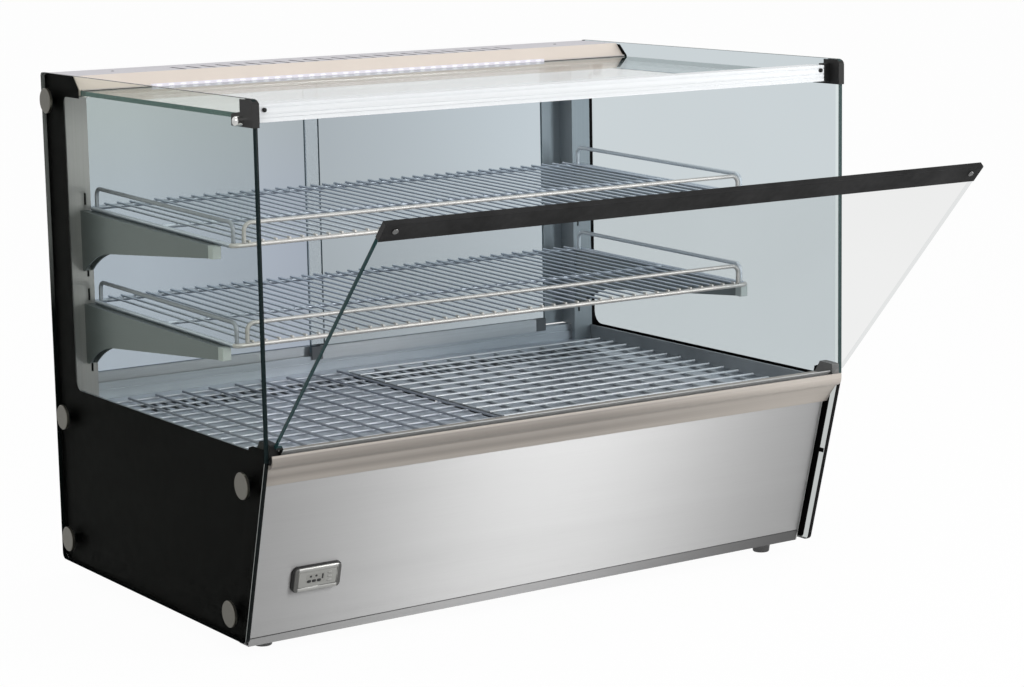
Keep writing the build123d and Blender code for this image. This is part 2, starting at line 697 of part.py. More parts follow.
# Top housing
def top_housing():
    """Sheet cover over the lamp driver, open below, with louvres."""
    foot_z = TOP_HIGH + 0.3
    back = HOUSE_REAR
    shell = [(HOUSE_FOOT_Y, foot_z), (HOUSE_RIDGE, HOUSE_TOP), (back, HOUSE_TOP), (back, TOP_LOW),
             (back - SHEET, TOP_LOW), (back - SHEET, HOUSE_TOP - SHEET),
             (HOUSE_RIDGE + 0.6, HOUSE_TOP - SHEET), (HOUSE_FOOT_Y + 1.9, foot_z)]
    end = [(TOP_REAR + 0.5, TOP_LOW), (back, TOP_LOW), (back, HOUSE_TOP), (HOUSE_RIDGE, HOUSE_TOP),
           (HOUSE_FOOT_Y, foot_z), (TOP_REAR + 0.5, foot_z)]
    cover = along_x(outline(shell), -HOUSE_X, HOUSE_X)
    cheek = along_x(outline(end), HOUSE_X - SHEET, HOUSE_X)
    cover = cover + cheek + mirrored(cheek)
    slot = Rot(0, 0, 90) * SlotOverall(LOUVRE[1], LOUVRE[0])
    for i in range(LOUVRE_COUNT):
        x = LOUVRE_FIRST + i * LOUVRE_PITCH
        cover -= along_z(Pos(x, LOUVRE_Y, 0) * slot, HOUSE_TOP - 4, HOUSE_TOP + 1)
    return cover


def housing_base():
    """Plate under the housing with the upper door tracks and the end cheeks."""
    plate = block(-CHEEK_X, CHEEK_X, TOP_REAR - 10, HOUSE_REAR - SHEET - 0.2, BASE_LOW, TOP_LOW)
    inner = CHEEK_X - SHEET
    half = HEAD_SLOT / 2
    edges = [272.0, TRACK_FRONT - half, TRACK_FRONT + half, TRACK_BACK - half, TRACK_BACK + half, 294.0]
    for y0, y1 in zip(edges[::2], edges[1::2]):
        plate += block(-inner, inner, y0, y1, HEAD_LOW, BASE_LOW + 0.5)
    cheek = block(inner, CHEEK_X, POST_FRONT, 294.0, CHEEK_LOW, BASE_LOW + 0.5)
    cheek -= rod_x(inner - 1, CHEEK_X + 1, TOP_CAP[0], TOP_CAP[1], STEM_R + 0.1)
    return plate + cheek + mirrored(cheek)


# Front glass, drawn upright on the hinge line and then tilted open
def tilted(shape):
    """Turn a piece of the closed front glass to its open position."""
    pivot = Pos(0, AXIS_Y, AXIS_Z)
    return pivot * Rot(OPEN_ANGLE, 0, 0) * pivot.inverse() * shape


def upright(x0, x1, t0, t1, s0, s1):
    """Box of the upright front glass: t across it, s up from the hinge axis."""
    return block(x0, x1, AXIS_Y + t0, AXIS_Y + t1, AXIS_Z + s0, AXIS_Z + s1)


def front_glass():
    """Front pane, notched at the bottom corners for the hinges."""
    pane = upright(-FRONT_HALF, FRONT_HALF, -HALF_T, HALF_T, FRONT_S0, FRONT_S1)
    notch = upright(NOTCH_X, FRONT_HALF + 1, -GLASS, GLASS, FRONT_S0 - 1, NOTCH_S)
    return pane - notch - mirrored(notch)


def glass_handle():
    """Black channel over the top edge that serves as the handle."""
    low = HANDLE_TOP - HANDLE_H
    band = upright(-FRONT_HALF, FRONT_HALF, -HANDLE_T, HANDLE_T, low, HANDLE_TOP)
    band = fillet(band.edges().filter_by(Axis.X).group_by(Axis.Z)[-1], 1.5)
    band -= upright(-FRONT_HALF - 1, FRONT_HALF + 1, -HALF_T, HALF_T, low - 1, FRONT_S1)
    for x in (-FRONT_HALF + HANDLE_SCREW_IN, FRONT_HALF - HANDLE_SCREW_IN):
        band -= rod_y(AXIS_Y - HANDLE_T - 1, AXIS_Y - HALF_T, x, AXIS_Z + HANDLE_SCREW_S, 2.0)
    return band


def handle_screw(x):
    """Domed screw in the handle's outer face."""
    z = AXIS_Z + HANDLE_SCREW_S
    face = AXIS_Y - HANDLE_T
    head = rod_y(face - 2, face, x, z, HANDLE_SCREW_R)
    head = fillet(head.faces().sort_by(Axis.Y)[0].edges(), 1.5)
    return head + rod_y(face - 1, AXIS_Y - HALF_T - 0.05, x, z, 1.9)


def hinge_rail():
    """Dark channel that grips the bottom edge between the hinges."""
    rail = upright(-NOTCH_X, NOTCH_X, -CHANNEL_T, CHANNEL_T, HINGE_S0, HINGE_S1)
    rail -= upright(-NOTCH_X - 1, NOTCH_X + 1, -HALF_T, HALF_T, FRONT_S0, HINGE_S1 + 1)
    return rail - hinge_pin() - mirrored(hinge_pin())


def hinge_pin():
    """Right-hand pivot pin, let into the end of the channel and cut clear of the glass."""
    pin = rod_x(NOTCH_X - 8, HINGE_BLOCK_OUT - 0.5, AXIS_Y, AXIS_Z, PIN_R)
    return pin - upright(NOTCH_X - 9, NOTCH_X, -HALF_T, HALF_T, FRONT_S0, HINGE_S1)


def hinge_block():
    """Right-hand fixed hinge: knuckle round the axis below a wedge that stands on the lip."""
    knuckle = rod_x(HINGE_BLOCK_IN, LIP_X, AXIS_Y, AXIS_Z, KNUCKLE_R)
    heel = (HINGE_BLOCK_REAR, LIP_FLAT)
    crest = (HINGE_BLOCK_FRONT, HINGE_BLOCK_TOP)
    ridge = (HINGE_BLOCK_REAR - 10.5, HINGE_BLOCK_TOP + 1)
    wedge = outline([(HINGE_BLOCK_FRONT, LIP_FLAT), crest, ridge, heel], [(crest, 2.0)])
    body = knuckle + along_x(wedge, HINGE_BLOCK_IN, LIP_X)
    return body - rod_x(HINGE_BLOCK_IN - 1, HINGE_BLOCK_OUT + 1, AXIS_Y, AXIS_Z, PIN_BORE_R)


# Controller
def controller_bezel():
    """Frame of the temperature controller."""
    width, height, depth = CTRL_BEZEL
    frame = Pos(0, 0, depth / 2) * Box(width, height, depth)
    frame = fillet(frame.edges().filter_by(Axis.Z), 6.0)
    frame = chamfer(frame.faces().sort_by(Axis.Z)[-1].edges(), 2.5)
    frame -= Pos(0, 0, depth / 2) * Box(CTRL_WINDOW[0], CTRL_WINDOW[1], 2 * depth)
    return CTRL_PLANE * frame


def controller_body():
    """Controller box through the panel, with a grey face in the bezel."""
    face_z = CTRL_BEZEL[2] - 1.0
    body = Pos(0, 0, -CTRL_BODY[2] / 2) * Box(*CTRL_BODY)
    body += Pos(0, 0, face_z / 2) * Box(CTRL_WINDOW[0], CTRL_WINDOW[1], face_z)
    recess = Pos(CTRL_DISPLAY_SHIFT, 0, face_z) * Box(CTRL_DISPLAY[0], CTRL_DISPLAY[1], 2 * CTRL_DISPLAY[2])
    return CTRL_PLANE * (body - recess)


def controller_display():
    """Dark display window let into the controller's face."""
    z = CTRL_BEZEL[2] - 1.0 - CTRL_DISPLAY[2] / 2
    return CTRL_PLANE * (Pos(CTRL_DISPLAY_SHIFT, 0, z) * Box(*CTRL_DISPLAY))


# Heater, fan, switch and connections
def heater_element():
    """Tubular element bent into a hairpin, on two hangers under the deck."""
    z = HEATER_Z
    path = FilletPolyline(
        (-HEATER_X, HEATER_REAR, z), (-HEATER_X, HEATER_FRONT, z), (HEATER_X, HEATER_FRONT, z),
        (HEATER_X, HEATER_REAR, z), radius=45.0,
    )
    tube = swept(path, HEATER_R)
    for x in (-HEATER_X, HEATER_X):
        tube += block(x - 8, x + 8, HEATER_REAR - 30, HEATER_REAR - 27, z - 8, DECK_TOP - PLATE)
    return tube


def fan_frame():
    """Square fan frame with a spider that holds the shaft."""
    z1 = DECK_TOP - PLATE
    z0 = z1 - FAN_H
    half = FAN_SIZE / 2
    frame = block(-half, half, FAN_Y - half, FAN_Y + half, z0, z1)
    frame -= rod_z(z0 - 1, z1 + 1, 0, FAN_Y, FAN_BORE_R)
    spider = rod_z(z0, z0 + 4, 0, FAN_Y, FAN_HUB_R)
    for angle in range(0, 360, 90):
        strut = Pos(0, FAN_Y, z0 + 2) * Rot(0, 0, angle + 45) * Pos(FAN_BORE_R / 2 + 2, 0, 0)
        spider += strut * Box(FAN_BORE_R, 4, 4)
    return frame + spider - rod_z(z0 - 1, z1, 0, FAN_Y, SHAFT_BORE_R)


def fan_rotor():
    """Fan wheel with its shaft."""
    z0 = DECK_TOP - PLATE - FAN_H
    wheel = rod_z(z0 + 5, z0 + 21, 0, FAN_Y, FAN_HUB_R)
    wheel += rod_z(z0 + 0.5, z0 + 6, 0, FAN_Y, SHAFT_R)
    reach = FAN_TIP_R - FAN_HUB_R + 4
    for i in range(FAN_BLADES):
        turn = Pos(0, FAN_Y, z0 + 13) * Rot(0, 0, i * 360 / FAN_BLADES)
        wheel += turn * Pos(FAN_HUB_R - 4 + reach / 2, 0, 0) * Rot(32, 0, 0) * Box(reach, 20, 1.6)
    return wheel


def terminal_block():
    """Connection block on the tray's floor."""
    z0 = PAN_LOW + PLATE
    body = block(-390, -340, 215, 240, z0, z0 + 18)
    for x in (-380, -370, -360, -350):
        body -= rod_z(z0 + 8, z0 + 19, x, 227.5, 2.2)
    return body


def cable_gland():
    """Mains gland in the back sheet; the cord is not part of the case."""
    back = BACK_Y + PLATE
    gland = rod_y(BACK_Y - 6, back + 10, GLAND_X, GLAND_Z, 8.0) + rod_y(back, back + 4, GLAND_X, GLAND_Z, 11.0)
    gland += rod_y(BACK_Y - 5, BACK_Y, GLAND_X, GLAND_Z, 10.5)
    gland = fillet(gland.faces().sort_by(Axis.Y)[-1].edges(), 2.0)
    return gland - rod_y(BACK_Y - 10, back + 20, GLAND_X, GLAND_Z, 4.0)


def switch_body():
    """Housing of the mains switch, open to the rear round the rocker."""
    back = BACK_Y + PLATE
    body = block(-13.5, 13.5, 268, back, -9.5, 9.5) + block(-15.5, 15.5, back, back + 2, -11.5, 11.5)
    body -= block(-12.5, 12.5, 278, back + 3, -7.6, 7.6)
    body -= rod_z(-9.0, 9.0, 0, ROCKER_Y, 1.55)
    return Pos(SWITCH_X, 0, SWITCH_Z) * body


def switch_rocker():
    """Rocker with its pivots, drawn in the off position."""
    key = outline([(-11, -3), (11, -3), (11, 6.5), (0, 5), (-11, 6.5)])
    rocker = along_z(key, -7.2, 7.2) + rod_z(-8.8, 8.8, 0, 0, 1.5)
    return Pos(SWITCH_X, ROCKER_Y, SWITCH_Z) * Rot(0, 0, -ROCKER_TILT) * rocker


def main():
    os.makedirs("parts", exist_ok=True)

    pane = side_glass()
    save("side_glass_right", pane)
    save("side_glass_left", mirrored(pane))
    save("print_right", side_print(1))
    save("print_left", side_print(-1))
    caps = standoff_caps()
    save("standoff_caps", *caps, *[mirrored(cap) for cap in caps])
    rings = standoff_spacers()
    save("standoff_spacers", *rings, *[mirrored(ring) for ring in rings])

    save("base_pan", base_pan())
    save("front_panel", front_panel())
    save("rear_panel", rear_panel())
    save("deck", deck())
    save("side_trims", side_trim(), mirrored(side_trim()))
    save("front_lip", front_lip())
    save("rear_sill", rear_sill())
    save("feet", *[Pos(x, y, 0) * foot() for x in (FOOT_LEFT, FOOT_RIGHT) for y in (FOOT_FRONT, FOOT_REAR)])

    save("post_right", post() + rear_jamb())
    save("post_left", mirrored(post()))
    for level, (top, lean, end, hooks) in LEVELS.items():
        arm = shelf_arm(top, lean, end, hooks)
        save(f"bracket_{level}_right", arm)
        save(f"bracket_{level}_left", mirrored(arm))
        save(f"{level}_shelf", wire_shelf(top, lean))
        save(f"{level}_fences", *shelf_fences(top, lean))
    tips = [arm_cap(top, lean, end) for top, lean, end, _ in LEVELS.values()]
    save("bracket_caps", *tips, *[mirrored(tip) for tip in tips])
    save("grid_left", floor_grid(*GRID_LEFT))
    save("grid_right", floor_grid(*GRID_RIGHT))

    save("top_glass", block(-TOP_HALF, TOP_HALF, TOP_FRONT, TOP_REAR, TOP_LOW, TOP_HIGH))
    save("top_rail", top_rail())
    save("rail_bumpers", rail_bumper(-BUMPER_X), rail_bumper(BUMPER_X))
    save("corner_bracket_right", corner_bracket())
    save("corner_bracket_left", mirrored(corner_bracket()))
    save("corner_screws", corner_screw(), mirrored(corner_screw()))
    save("top_housing", top_housing())
    save("housing_base", housing_base())
    seal = (LED_FRONT + 0.5, HOUSE_FOOT_Y, TOP_HIGH, TOP_HIGH + 2)
    save("housing_seal", block(-TOP_HALF, LED_X[0] - 0.2, *seal), block(LED_X[1] + 0.2, TOP_HALF, *seal))
    save("led_strip", block(*LED_X, LED_FRONT, HOUSE_FOOT_Y, TOP_HIGH, TOP_HIGH + 3.5))
    save("led_driver", block(-75, 75, 215, 255, TOP_LOW, TOP_LOW + 16))

    save("front_glass", tilted(front_glass()))
    save("glass_handle", tilted(glass_handle()))
    screw_x = FRONT_HALF - HANDLE_SCREW_IN
    save("handle_screws", tilted(handle_screw(-screw_x)), tilted(handle_screw(screw_x)))
    save("hinge_rail", tilted(hinge_rail()))
    save("hinge_pins", tilted(hinge_pin()), tilted(mirrored(hinge_pin())))
    save("hinge_blocks", hinge_block(), mirrored(hinge_block()))

    save_door("door_left", DOOR_LEFT_X, TRACK_BACK)
    save_door("door_right", DOOR_RIGHT_X, TRACK_FRONT)

    save("controller_bezel", controller_bezel())
    save("controller_body", controller_body())
    save("controller_display", controller_display())
    save("heater_element", heater_element())
    save("fan_frame", fan_frame())
    save("fan_rotor", fan_rotor())
    save("terminal_block", terminal_block())
    save("cable_gland", cable_gland())
    save("switch_body", switch_body())
    save("switch_rocker", switch_rocker())


main()
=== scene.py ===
"""Heated display case: finishes, fine pieces, stage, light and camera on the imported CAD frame.

X runs to the customer's right, Y to the rear and Z up. Places and sizes on the case are written in
millimetres and carried over to metres by MM. The camera, the lamps and the floor are in metres.
"""
import math

import bmesh
import bpy
import numpy as np
from mathutils import Matrix, Vector


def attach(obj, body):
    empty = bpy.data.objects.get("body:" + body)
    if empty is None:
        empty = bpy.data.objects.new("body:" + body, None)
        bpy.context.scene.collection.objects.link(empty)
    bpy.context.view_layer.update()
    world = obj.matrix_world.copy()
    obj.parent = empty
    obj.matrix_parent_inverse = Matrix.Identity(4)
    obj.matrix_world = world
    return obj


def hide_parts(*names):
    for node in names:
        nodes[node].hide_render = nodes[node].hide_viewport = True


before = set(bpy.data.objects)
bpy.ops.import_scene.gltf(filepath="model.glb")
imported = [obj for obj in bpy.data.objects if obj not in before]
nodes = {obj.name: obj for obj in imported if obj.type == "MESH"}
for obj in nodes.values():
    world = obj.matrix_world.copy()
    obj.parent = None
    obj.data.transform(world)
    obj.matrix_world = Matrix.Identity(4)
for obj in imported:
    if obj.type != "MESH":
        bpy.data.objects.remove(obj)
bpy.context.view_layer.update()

MM = 0.001
ALONG_X = (1.0, 0.0, 0.0)
ALONG_Y = (0.0, 1.0, 0.0)
ALONG_Z = (0.0, 0.0, 1.0)
ACROSS = np.array(ALONG_X)

# Camera of the photograph
CAMERA_AT = (-1.912, -3.1105, 0.9406)
CAMERA_TURN = math.radians(-32.959)
CAMERA_LIFT = math.radians(9.832)
CAMERA_ROLL = math.radians(-1.049)
FOCAL_PIXELS = 2774.2
PICTURE_WIDTH = 1024.0
SENSOR = 36.0

# Light and floor
WORLD_LIGHT = 0.52
FLOOR_WHITE = 0.97
FLOOR_WHITE_IN_METAL = 0.45
FLOOR_REACH = 30.0

# Panes: half thickness, least cosine of a face that lies square to the pane, usual gloss
HALF_GLASS = 3.0
SQUARE = 0.7
CLEAR = (0.5, 0.6)

# Front glass, tilted open about its hinge
HINGE = np.array([0.0, -295.0, 260.0])
OPEN = math.radians(42.56)
FRONT_GLASS_X = 426.5
FRONT_GLASS_RUN = (20.0, 386.5)
FRONT_GLASS_BARE = (274.0, 544.5)
FRONT_GLASS_CLEAR_END = 410.0

# Top glass
TOP_GLASS_X = 427.0
TOP_GLASS_Z = 658.0
TOP_GLASS_RUN = (-266.0, 189.0)

# Side glasses: outline in Y and Z with its corner radii, and places where their tones change and where a
# painted highlight lies on the arris
SIDE_GLASS_X = 432.0
SIDE_GLASS_CORNERS = [(-297, 256), (-232, 22), (297, 22), (297, 680), (-297, 680)]
SIDE_GLASS_RADII = [2.0, 8.0, 8.0, 5.0, 5.0]
KNEE = 255.0
ARRIS_LEFT = -434.4
ARRIS_REAR = -230.0
EDGE_REAR = 290.0
EDGE_REAR_FADE = (360.0, 460.0)
PRINT_FOOT = 22.4
PRINT_REAR = 296.6
MARGIN_FRONT = -291.0
MARGIN_TOP = 250.0

# Rear doors: where the painted shade in their tints fades across, low down and high up, and where the left
# one is overlapped
DOOR_LEFT_FADE = (-300.0, -50.0)
DOOR_RIGHT_FADE = (-20.0, 330.0)
DOOR_LOW_FADE = (280.0, 520.0)
DOOR_HIGH_FADE = (460.0, 620.0)
DOOR_OVERLAP = -46.0

# Front panel: seam above its foot strip, the strip's fade across and the end that carries a painted highlight
SEAM = 29.2
SEAM_SLOPE = 11.6 / 844.0
SEAM_HALF = 0.7
STRIP_FADE = (-420.0, 400.0)
PANEL_END = 420.5

# Front lip: heights of its fold, dip and crest, and its fade across, where its shade and highlights are
# painted
LIP_FOLD = (243.5, 246.5)
LIP_DIP = 233.5
LIP_DIP_REACH = (1.0, 7.0)
LIP_CREST = (260.5, 262.5)
LIP_FADE = (20.0, 360.0)

# Controller on the raked front panel: bezel outline, side bars, face, and the rounded frame's section
CONTROLLER_AT = np.array([-339.4, -237.86, 93.5])
PANEL_UP = np.array([0.0, -0.2676, 0.9635])
PANEL_OUT = np.array([0.0, -0.9635, -0.2676])
BEZEL = (66.0, 34.0, 6.0)
BEZEL_BARS = (26.2, 27.5)
FACE = 5.5
FRAME_IN = 3.8
FRAME_HALF = 2.9
FRAME_BASE = 3.2
FRAME_FOOT = 5.0
FRAME_RISE = 1.6

# Top housing: fold between its lit slant and shaded top, louvres with their painted shade, seal and screws
RIDGE = (205.5, 212.0)
LOUVRE_FIRST = -264.0
LOUVRE_PITCH = 22.4
LOUVRE_HALF = 2.6
LOUVRE_X = (-268.0, 255.2)
LOUVRE_Y = (213.5, 258.5)
SEAL_FOOT = 661.8
SCREW_AT = [(-352.0, 252.3, 679.0), (352.0, 252.3, 679.0)]

# Lamp
DIODES = 35
LED_PITCH = 17.5
LED_MIDDLE = -20.5
LED_FRONT = 183.05
LED_Z = 662.8

# Caps: centres in Y and Z, and radians of ring per millimetre
CAP_CENTRES = [(274.0, 644.0), (266.5, 222.0), (266.5, 55.0), (-246.0, 220.0), (-201.5, 54.0)]
RING_TURN = 7.0

# Wires: shelf's front rim, fence's flanks, middle of a floor grid's two layers
SHELF_RIM = -145.5
FENCE_FLANK = 378.8
GRID_MIDDLE = 241.3

# Black liners behind the slots of the posts, standing in for the shade inside them
LINER_X = 395.0
LINER_HALF = 5.6
LINER_FRONT = 267.4
LINER_BOW = 1.9
LINER_THICK = 0.8
LINER_RUN = (270.0, 530.0)

# Tints of the panes and tones of their edges
LEFT_TINT = (0.91, 0.922, 0.905)
RIGHT_TINT = (0.78, 0.815, 0.83)
RIGHT_RIM_TINT = (0.90, 0.94, 0.93)
MARGIN_TINT = (0.72, 0.735, 0.73)
DOOR_LEFT_TINT = (0.695, 0.735, 0.79)
DOOR_HIGH_TINT = (0.705, 0.745, 0.76)
DOOR_RIGHT_TINT = (0.768, 0.812, 0.84)
OVERLAP_TINT = (0.985, 0.988, 0.99)
FRONT_TINT = (0.93, 0.932, 0.93)
TOP_TINT = (0.88, 0.905, 0.905)
BLACK_EDGE = (0.004, 0.006, 0.006)
REAR_EDGE = (0.20, 0.21, 0.205)
DOOR_EDGE = (0.12, 0.17, 0.19)
FRONT_EDGE = (0.010, 0.04, 0.042)
TOP_EDGE = (0.14, 0.225, 0.215)


class Graph:
    """A node tree being put together. Sockets given to a node are linked, plain values are set."""

    def __init__(self, tree):
        self.tree = tree
        tree.nodes.clear()

    def node(self, kind, inputs=None, out=0, **settings):
        """Adds a node and gives one of its output sockets."""
        made = self.tree.nodes.new(kind)
        for key, value in settings.items():
            setattr(made, key, value)
        for key, value in (inputs or {}).items():
            if isinstance(value, bpy.types.NodeSocket):
                self.tree.links.new(value, made.inputs[key])
            else:
                made.inputs[key].default_value = value
        return made.outputs[out]

    def math(self, operation, a, b=0.0, c=0.0):
        return self.node("ShaderNodeMath", {0: a, 1: b, 2: c}, operation=operation)

    def mixed(self, factor, first, second):
        return self.node("ShaderNodeMixShader", {0: factor, 1: first, 2: second})

    def ray(self, kind):
        """One for rays of a kind, such as Camera, else nought."""
        return self.node("ShaderNodeLightPath", out=f"Is {kind} Ray")

    def end(self, kind, shader):
        """Links a shader to an output node of a kind."""
        self.tree.links.new(shader, self.tree.nodes.new(kind).inputs["Surface"])


class Finish(Graph):
    """Surface material, detailed on the object's own coordinates."""

    def __init__(self, name):
        self.material = bpy.data.materials.new(name)
        self.material.use_nodes = True
        super().__init__(self.material.node_tree)
        self.at = self.node("ShaderNodeTexCoord", out="Object")

    def noise(self, scale, stretch=(1.0, 1.0, 1.0), detail=2.0):
        """Noise on the object's own coordinates, stretched by scaling them."""
        at = self.node("ShaderNodeMapping", {"Vector": self.at, "Scale": stretch})
        return self.node("ShaderNodeTexNoise", {"Vector": at, "Scale": scale, "Detail": detail})

    def span(self, value, low, high, start=0.3, end=0.7):
        """Carries start to end over to low to high, held at both ends."""
        return self.node("ShaderNodeMapRange", {0: value, 1: start, 2: end, 3: low, 4: high})

    def shade(self, factor, dark, light):
        """Colour between dark and light, each a colour or a socket."""
        ends = [c if isinstance(c, bpy.types.NodeSocket) else (*c, 1.0) for c in (dark, light)]
        return self.node("ShaderNodeMix", {0: factor, 6: ends[0], 7: ends[1]}, out=2, data_type="RGBA")

    def drift(self, noise, colour, spread):
        """Colour that goes with a noise from a darker to a lighter neighbour."""
        return self.shade(self.span(noise, 0.0, 1.0), *varied(colour, spread))

    def place(self, axis):
        """One of the object's own coordinates, X, Y or Z, in millimetres."""
        return self.math("DIVIDE", self.node("ShaderNodeSeparateXYZ", {0: self.at}, out=axis), MM)

    def beyond(self, axis, side, limit):
        """One where a coordinate lies above a limit, or below it for a negative side, else nought."""
        return self.math("GREATER_THAN" if side > 0 else "LESS_THAN", self.place(axis), limit)

    def within(self, value, low, high):
        """One where a value lies between two others, else nought."""
        above, below = self.math("GREATER_THAN", value, low), self.math("LESS_THAN", value, high)
        return self.math("MULTIPLY", above, below)

    def leaning(self, direction):
        """Cosine between the object's own normal and a direction."""
        out = self.node("ShaderNodeTexCoord", out="Normal")
        return self.node("ShaderNodeVectorMath", {0: out, 1: direction}, out="Value", operation="DOT_PRODUCT")

    def bump(self, height, strength, depth):
        """Relief of a depth in millimetres."""
        return self.node("ShaderNodeBump", {"Height": height, "Strength": strength, "Distance": depth * MM})

    def surface(self, **sockets):
        """Principled surface, with its sockets' names in words joined by underscores."""
        inputs = {key.replace("_", " "): value for key, value in sockets.items()}
        return self.node("ShaderNodeBsdfPrincipled", inputs)

    def done(self, shader):
        """Ends the tree and gives the material."""
        self.end("ShaderNodeOutputMaterial", shader)
        return self.material


def grey(level):
    """A neutral colour."""
    return (level, level, level)


def varied(colour, spread):
    """A darker and a lighter neighbour of a colour."""
    low = tuple(c * (1.0 - spread) for c in colour)
    high = tuple(min(1.0, c * (1.0 + spread)) for c in colour)
    return low, high


def pane(name, square, tint, edge, gloss, zones=(), marked=None, clear_end=None, capped=None):
    """Clear float glass that tints what is behind it. Its gloss is a share times the cube of the way from
    one facing to grazing. Each zone, a coordinate, a side, a limit and a tint, changes the tint beyond
    its limit, and marked may change it too. Faces that don't lie square to the pane show the cut edge's
    green, black outside capped's two heights, and the end beyond clear_end lets most light through."""
    f = Finish(name)
    flat = f.math("GREATER_THAN", f.math("ABSOLUTE", f.leaning(square)), SQUARE)
    facing = f.node("ShaderNodeLayerWeight", {"Blend": 0.5}, out="Facing")
    share = f.math("MULTIPLY", f.math("POWER", f.span(facing, 0.0, 1.0, gloss[1], 1.0), 3.0), gloss[0])
    wave = f.bump(f.noise(2.2), 0.03, 2.0)
    smear = f.span(f.noise(14.0, detail=4.0), 0.0, 0.03)
    mirror = f.surface(Base_Color=(1, 1, 1, 1), Metallic=1.0, Roughness=smear, Normal=wave)
    colour = f.drift(f.noise(3.0), tint, 0.006)
    if marked:
        colour = marked(f, colour)
    for axis, side, limit, other in zones:
        colour = f.shade(f.beyond(axis, side, limit), colour, other)
    face = f.mixed(share, f.node("ShaderNodeBsdfTransparent", {"Color": colour}), mirror)
    streak = f.noise(180.0)
    tone = f.shade(streak, *varied(edge, 0.25))
    if capped:
        tone = f.shade(f.within(f.place("Z"), *capped), grey(0.008), tone)
    cut = f.surface(Base_Color=tone, Roughness=f.span(streak, 0.12, 0.3), Specular_IOR_Level=0.2)
    if clear_end:
        open_share = f.math("MULTIPLY", f.beyond("X", 1, clear_end), 0.9)
        through = f.node("ShaderNodeBsdfTransparent", {"Color": (0.93, 0.94, 0.94, 1.0)})
        cut = f.mixed(open_share, cut, through)
    return f.done(f.mixed(flat, cut, face))


def painted_door_shade(fade, tone_near, tone_far, low, high=None):
    """Rear door with painted shade in its tint: it goes from one share of the tint to another between fade's
    two places across, to low's share of that lower down, and to another tint high up."""
    def marked(f, tint):
        # Painted shade: the door's tint darkens across it and lower down.
        across = f.span(f.place("X"), tone_near, tone_far, *fade)
        if high:
            tint = f.shade(f.span(f.place("Z"), 0.0, 1.0, *DOOR_HIGH_FADE), tint, high)
        share = f.math("MULTIPLY", across, f.span(f.place("Z"), low, 1.0, *DOOR_LOW_FADE))
        return f.shade(share, grey(0.0), tint)
    return marked


def cut_edge(name, edge, upper, rear, glint=None):
    """Ground and polished edge of a side pane: near black along the rake, its own tone above the knee and
    another at the rear, with a painted highlight on the arris along the rake outside glint's place across."""
    f = Finish(name)
    grind = f.noise(400.0)
    rake = f.drift(grind, edge, 0.3)
    if glint:
        # Painted highlight: a bright line on the arris along the front rake.
        arris = f.math("MULTIPLY", f.beyond("X", -1, glint), f.beyond("Y", -1, ARRIS_REAR))
        rake = f.shade(arris, rake, (0.34, 0.36, 0.35))
    tone = f.shade(f.beyond("Z", 1, KNEE), rake, upper)
    high = f.span(f.place("Z"), 0.0, 1.0, *EDGE_REAR_FADE)
    tone = f.shade(f.beyond("Y", 1, EDGE_REAR), tone, f.shade(high, edge, rear))
    return f.done(f.surface(Base_Color=tone, Roughness=f.span(grind, 0.16, 0.3), Specular_IOR_Level=0.06))


def ground_edge(name, colour):
    """Ground and polished straight edge of a pane, a little darker where the grinding is coarser."""
    f = Finish(name)
    grind = f.noise(400.0)
    return f.done(f.surface(Base_Color=f.drift(grind, colour, 0.2), Roughness=f.span(grind, 0.1, 0.28),
                            Specular_IOR_Level=0.1))


def printed(name):
    """Black ceramic print, with a little unevenness in its ink and its gloss."""
    f = Finish(name)
    ink = f.noise(60.0, detail=3.0)
    colour = f.shade(f.span(ink, 0.0, 1.0), grey(0.0025), grey(0.005))
    return f.done(f.surface(Base_Color=colour, Roughness=f.span(ink, 0.4, 0.52), Specular_IOR_Level=0.02))


def brushed(name, colour, grain_along, roughness, lean=0.7, spread=0.06, marked=None):
    """Brushed steel. Noise drawn out along the grain shifts colour and roughness and cuts fine grooves,
    and the reflection spreads across the grain, a quarter turn from it. marked may change the colour."""
    f = Finish(name)
    stretch = tuple(0.01 if c else 1.0 for c in grain_along)
    grain = f.noise(900.0, stretch, 3.0)
    both = f.math("MULTIPLY_ADD", f.noise(60.0, stretch), 0.4, f.math("MULTIPLY", grain, 0.6))
    along = f.node("ShaderNodeCombineXYZ", {0: grain_along[0], 1: grain_along[1], 2: grain_along[2]})
    tone = f.drift(both, colour, spread)
    if marked:
        tone = marked(f, tone)
    return f.done(f.surface(
        Base_Color=tone, Metallic=1.0, Roughness=f.span(both, roughness - 0.03, roughness + 0.03),
        Anisotropic=lean, Anisotropic_Rotation=0.25, Tangent=along, Normal=f.bump(grain, 0.05, 0.2)))


def foot_strip(f, tone):
    """Front panel: a seam that climbs to the right, the strip under it darker to the right, and a painted
    highlight along the right-hand end."""
    x = f.place("X")
    over = f.math("SUBTRACT", f.place("Z"), f.math("MULTIPLY_ADD", x, SEAM_SLOPE, SEAM))
    strip = f.math("MULTIPLY", f.math("LESS_THAN", over, 0.0), f.span(x, 0.15, 0.9, *STRIP_FADE))
    tone = f.shade(strip, tone, grey(0.10))
    tone = f.shade(f.within(over, -SEAM_HALF, SEAM_HALF), tone, grey(0.10))
    # Painted highlight on the panel's right-hand end.
    return f.shade(f.beyond("X", 1, PANEL_END), tone, (0.90, 0.90, 0.89))


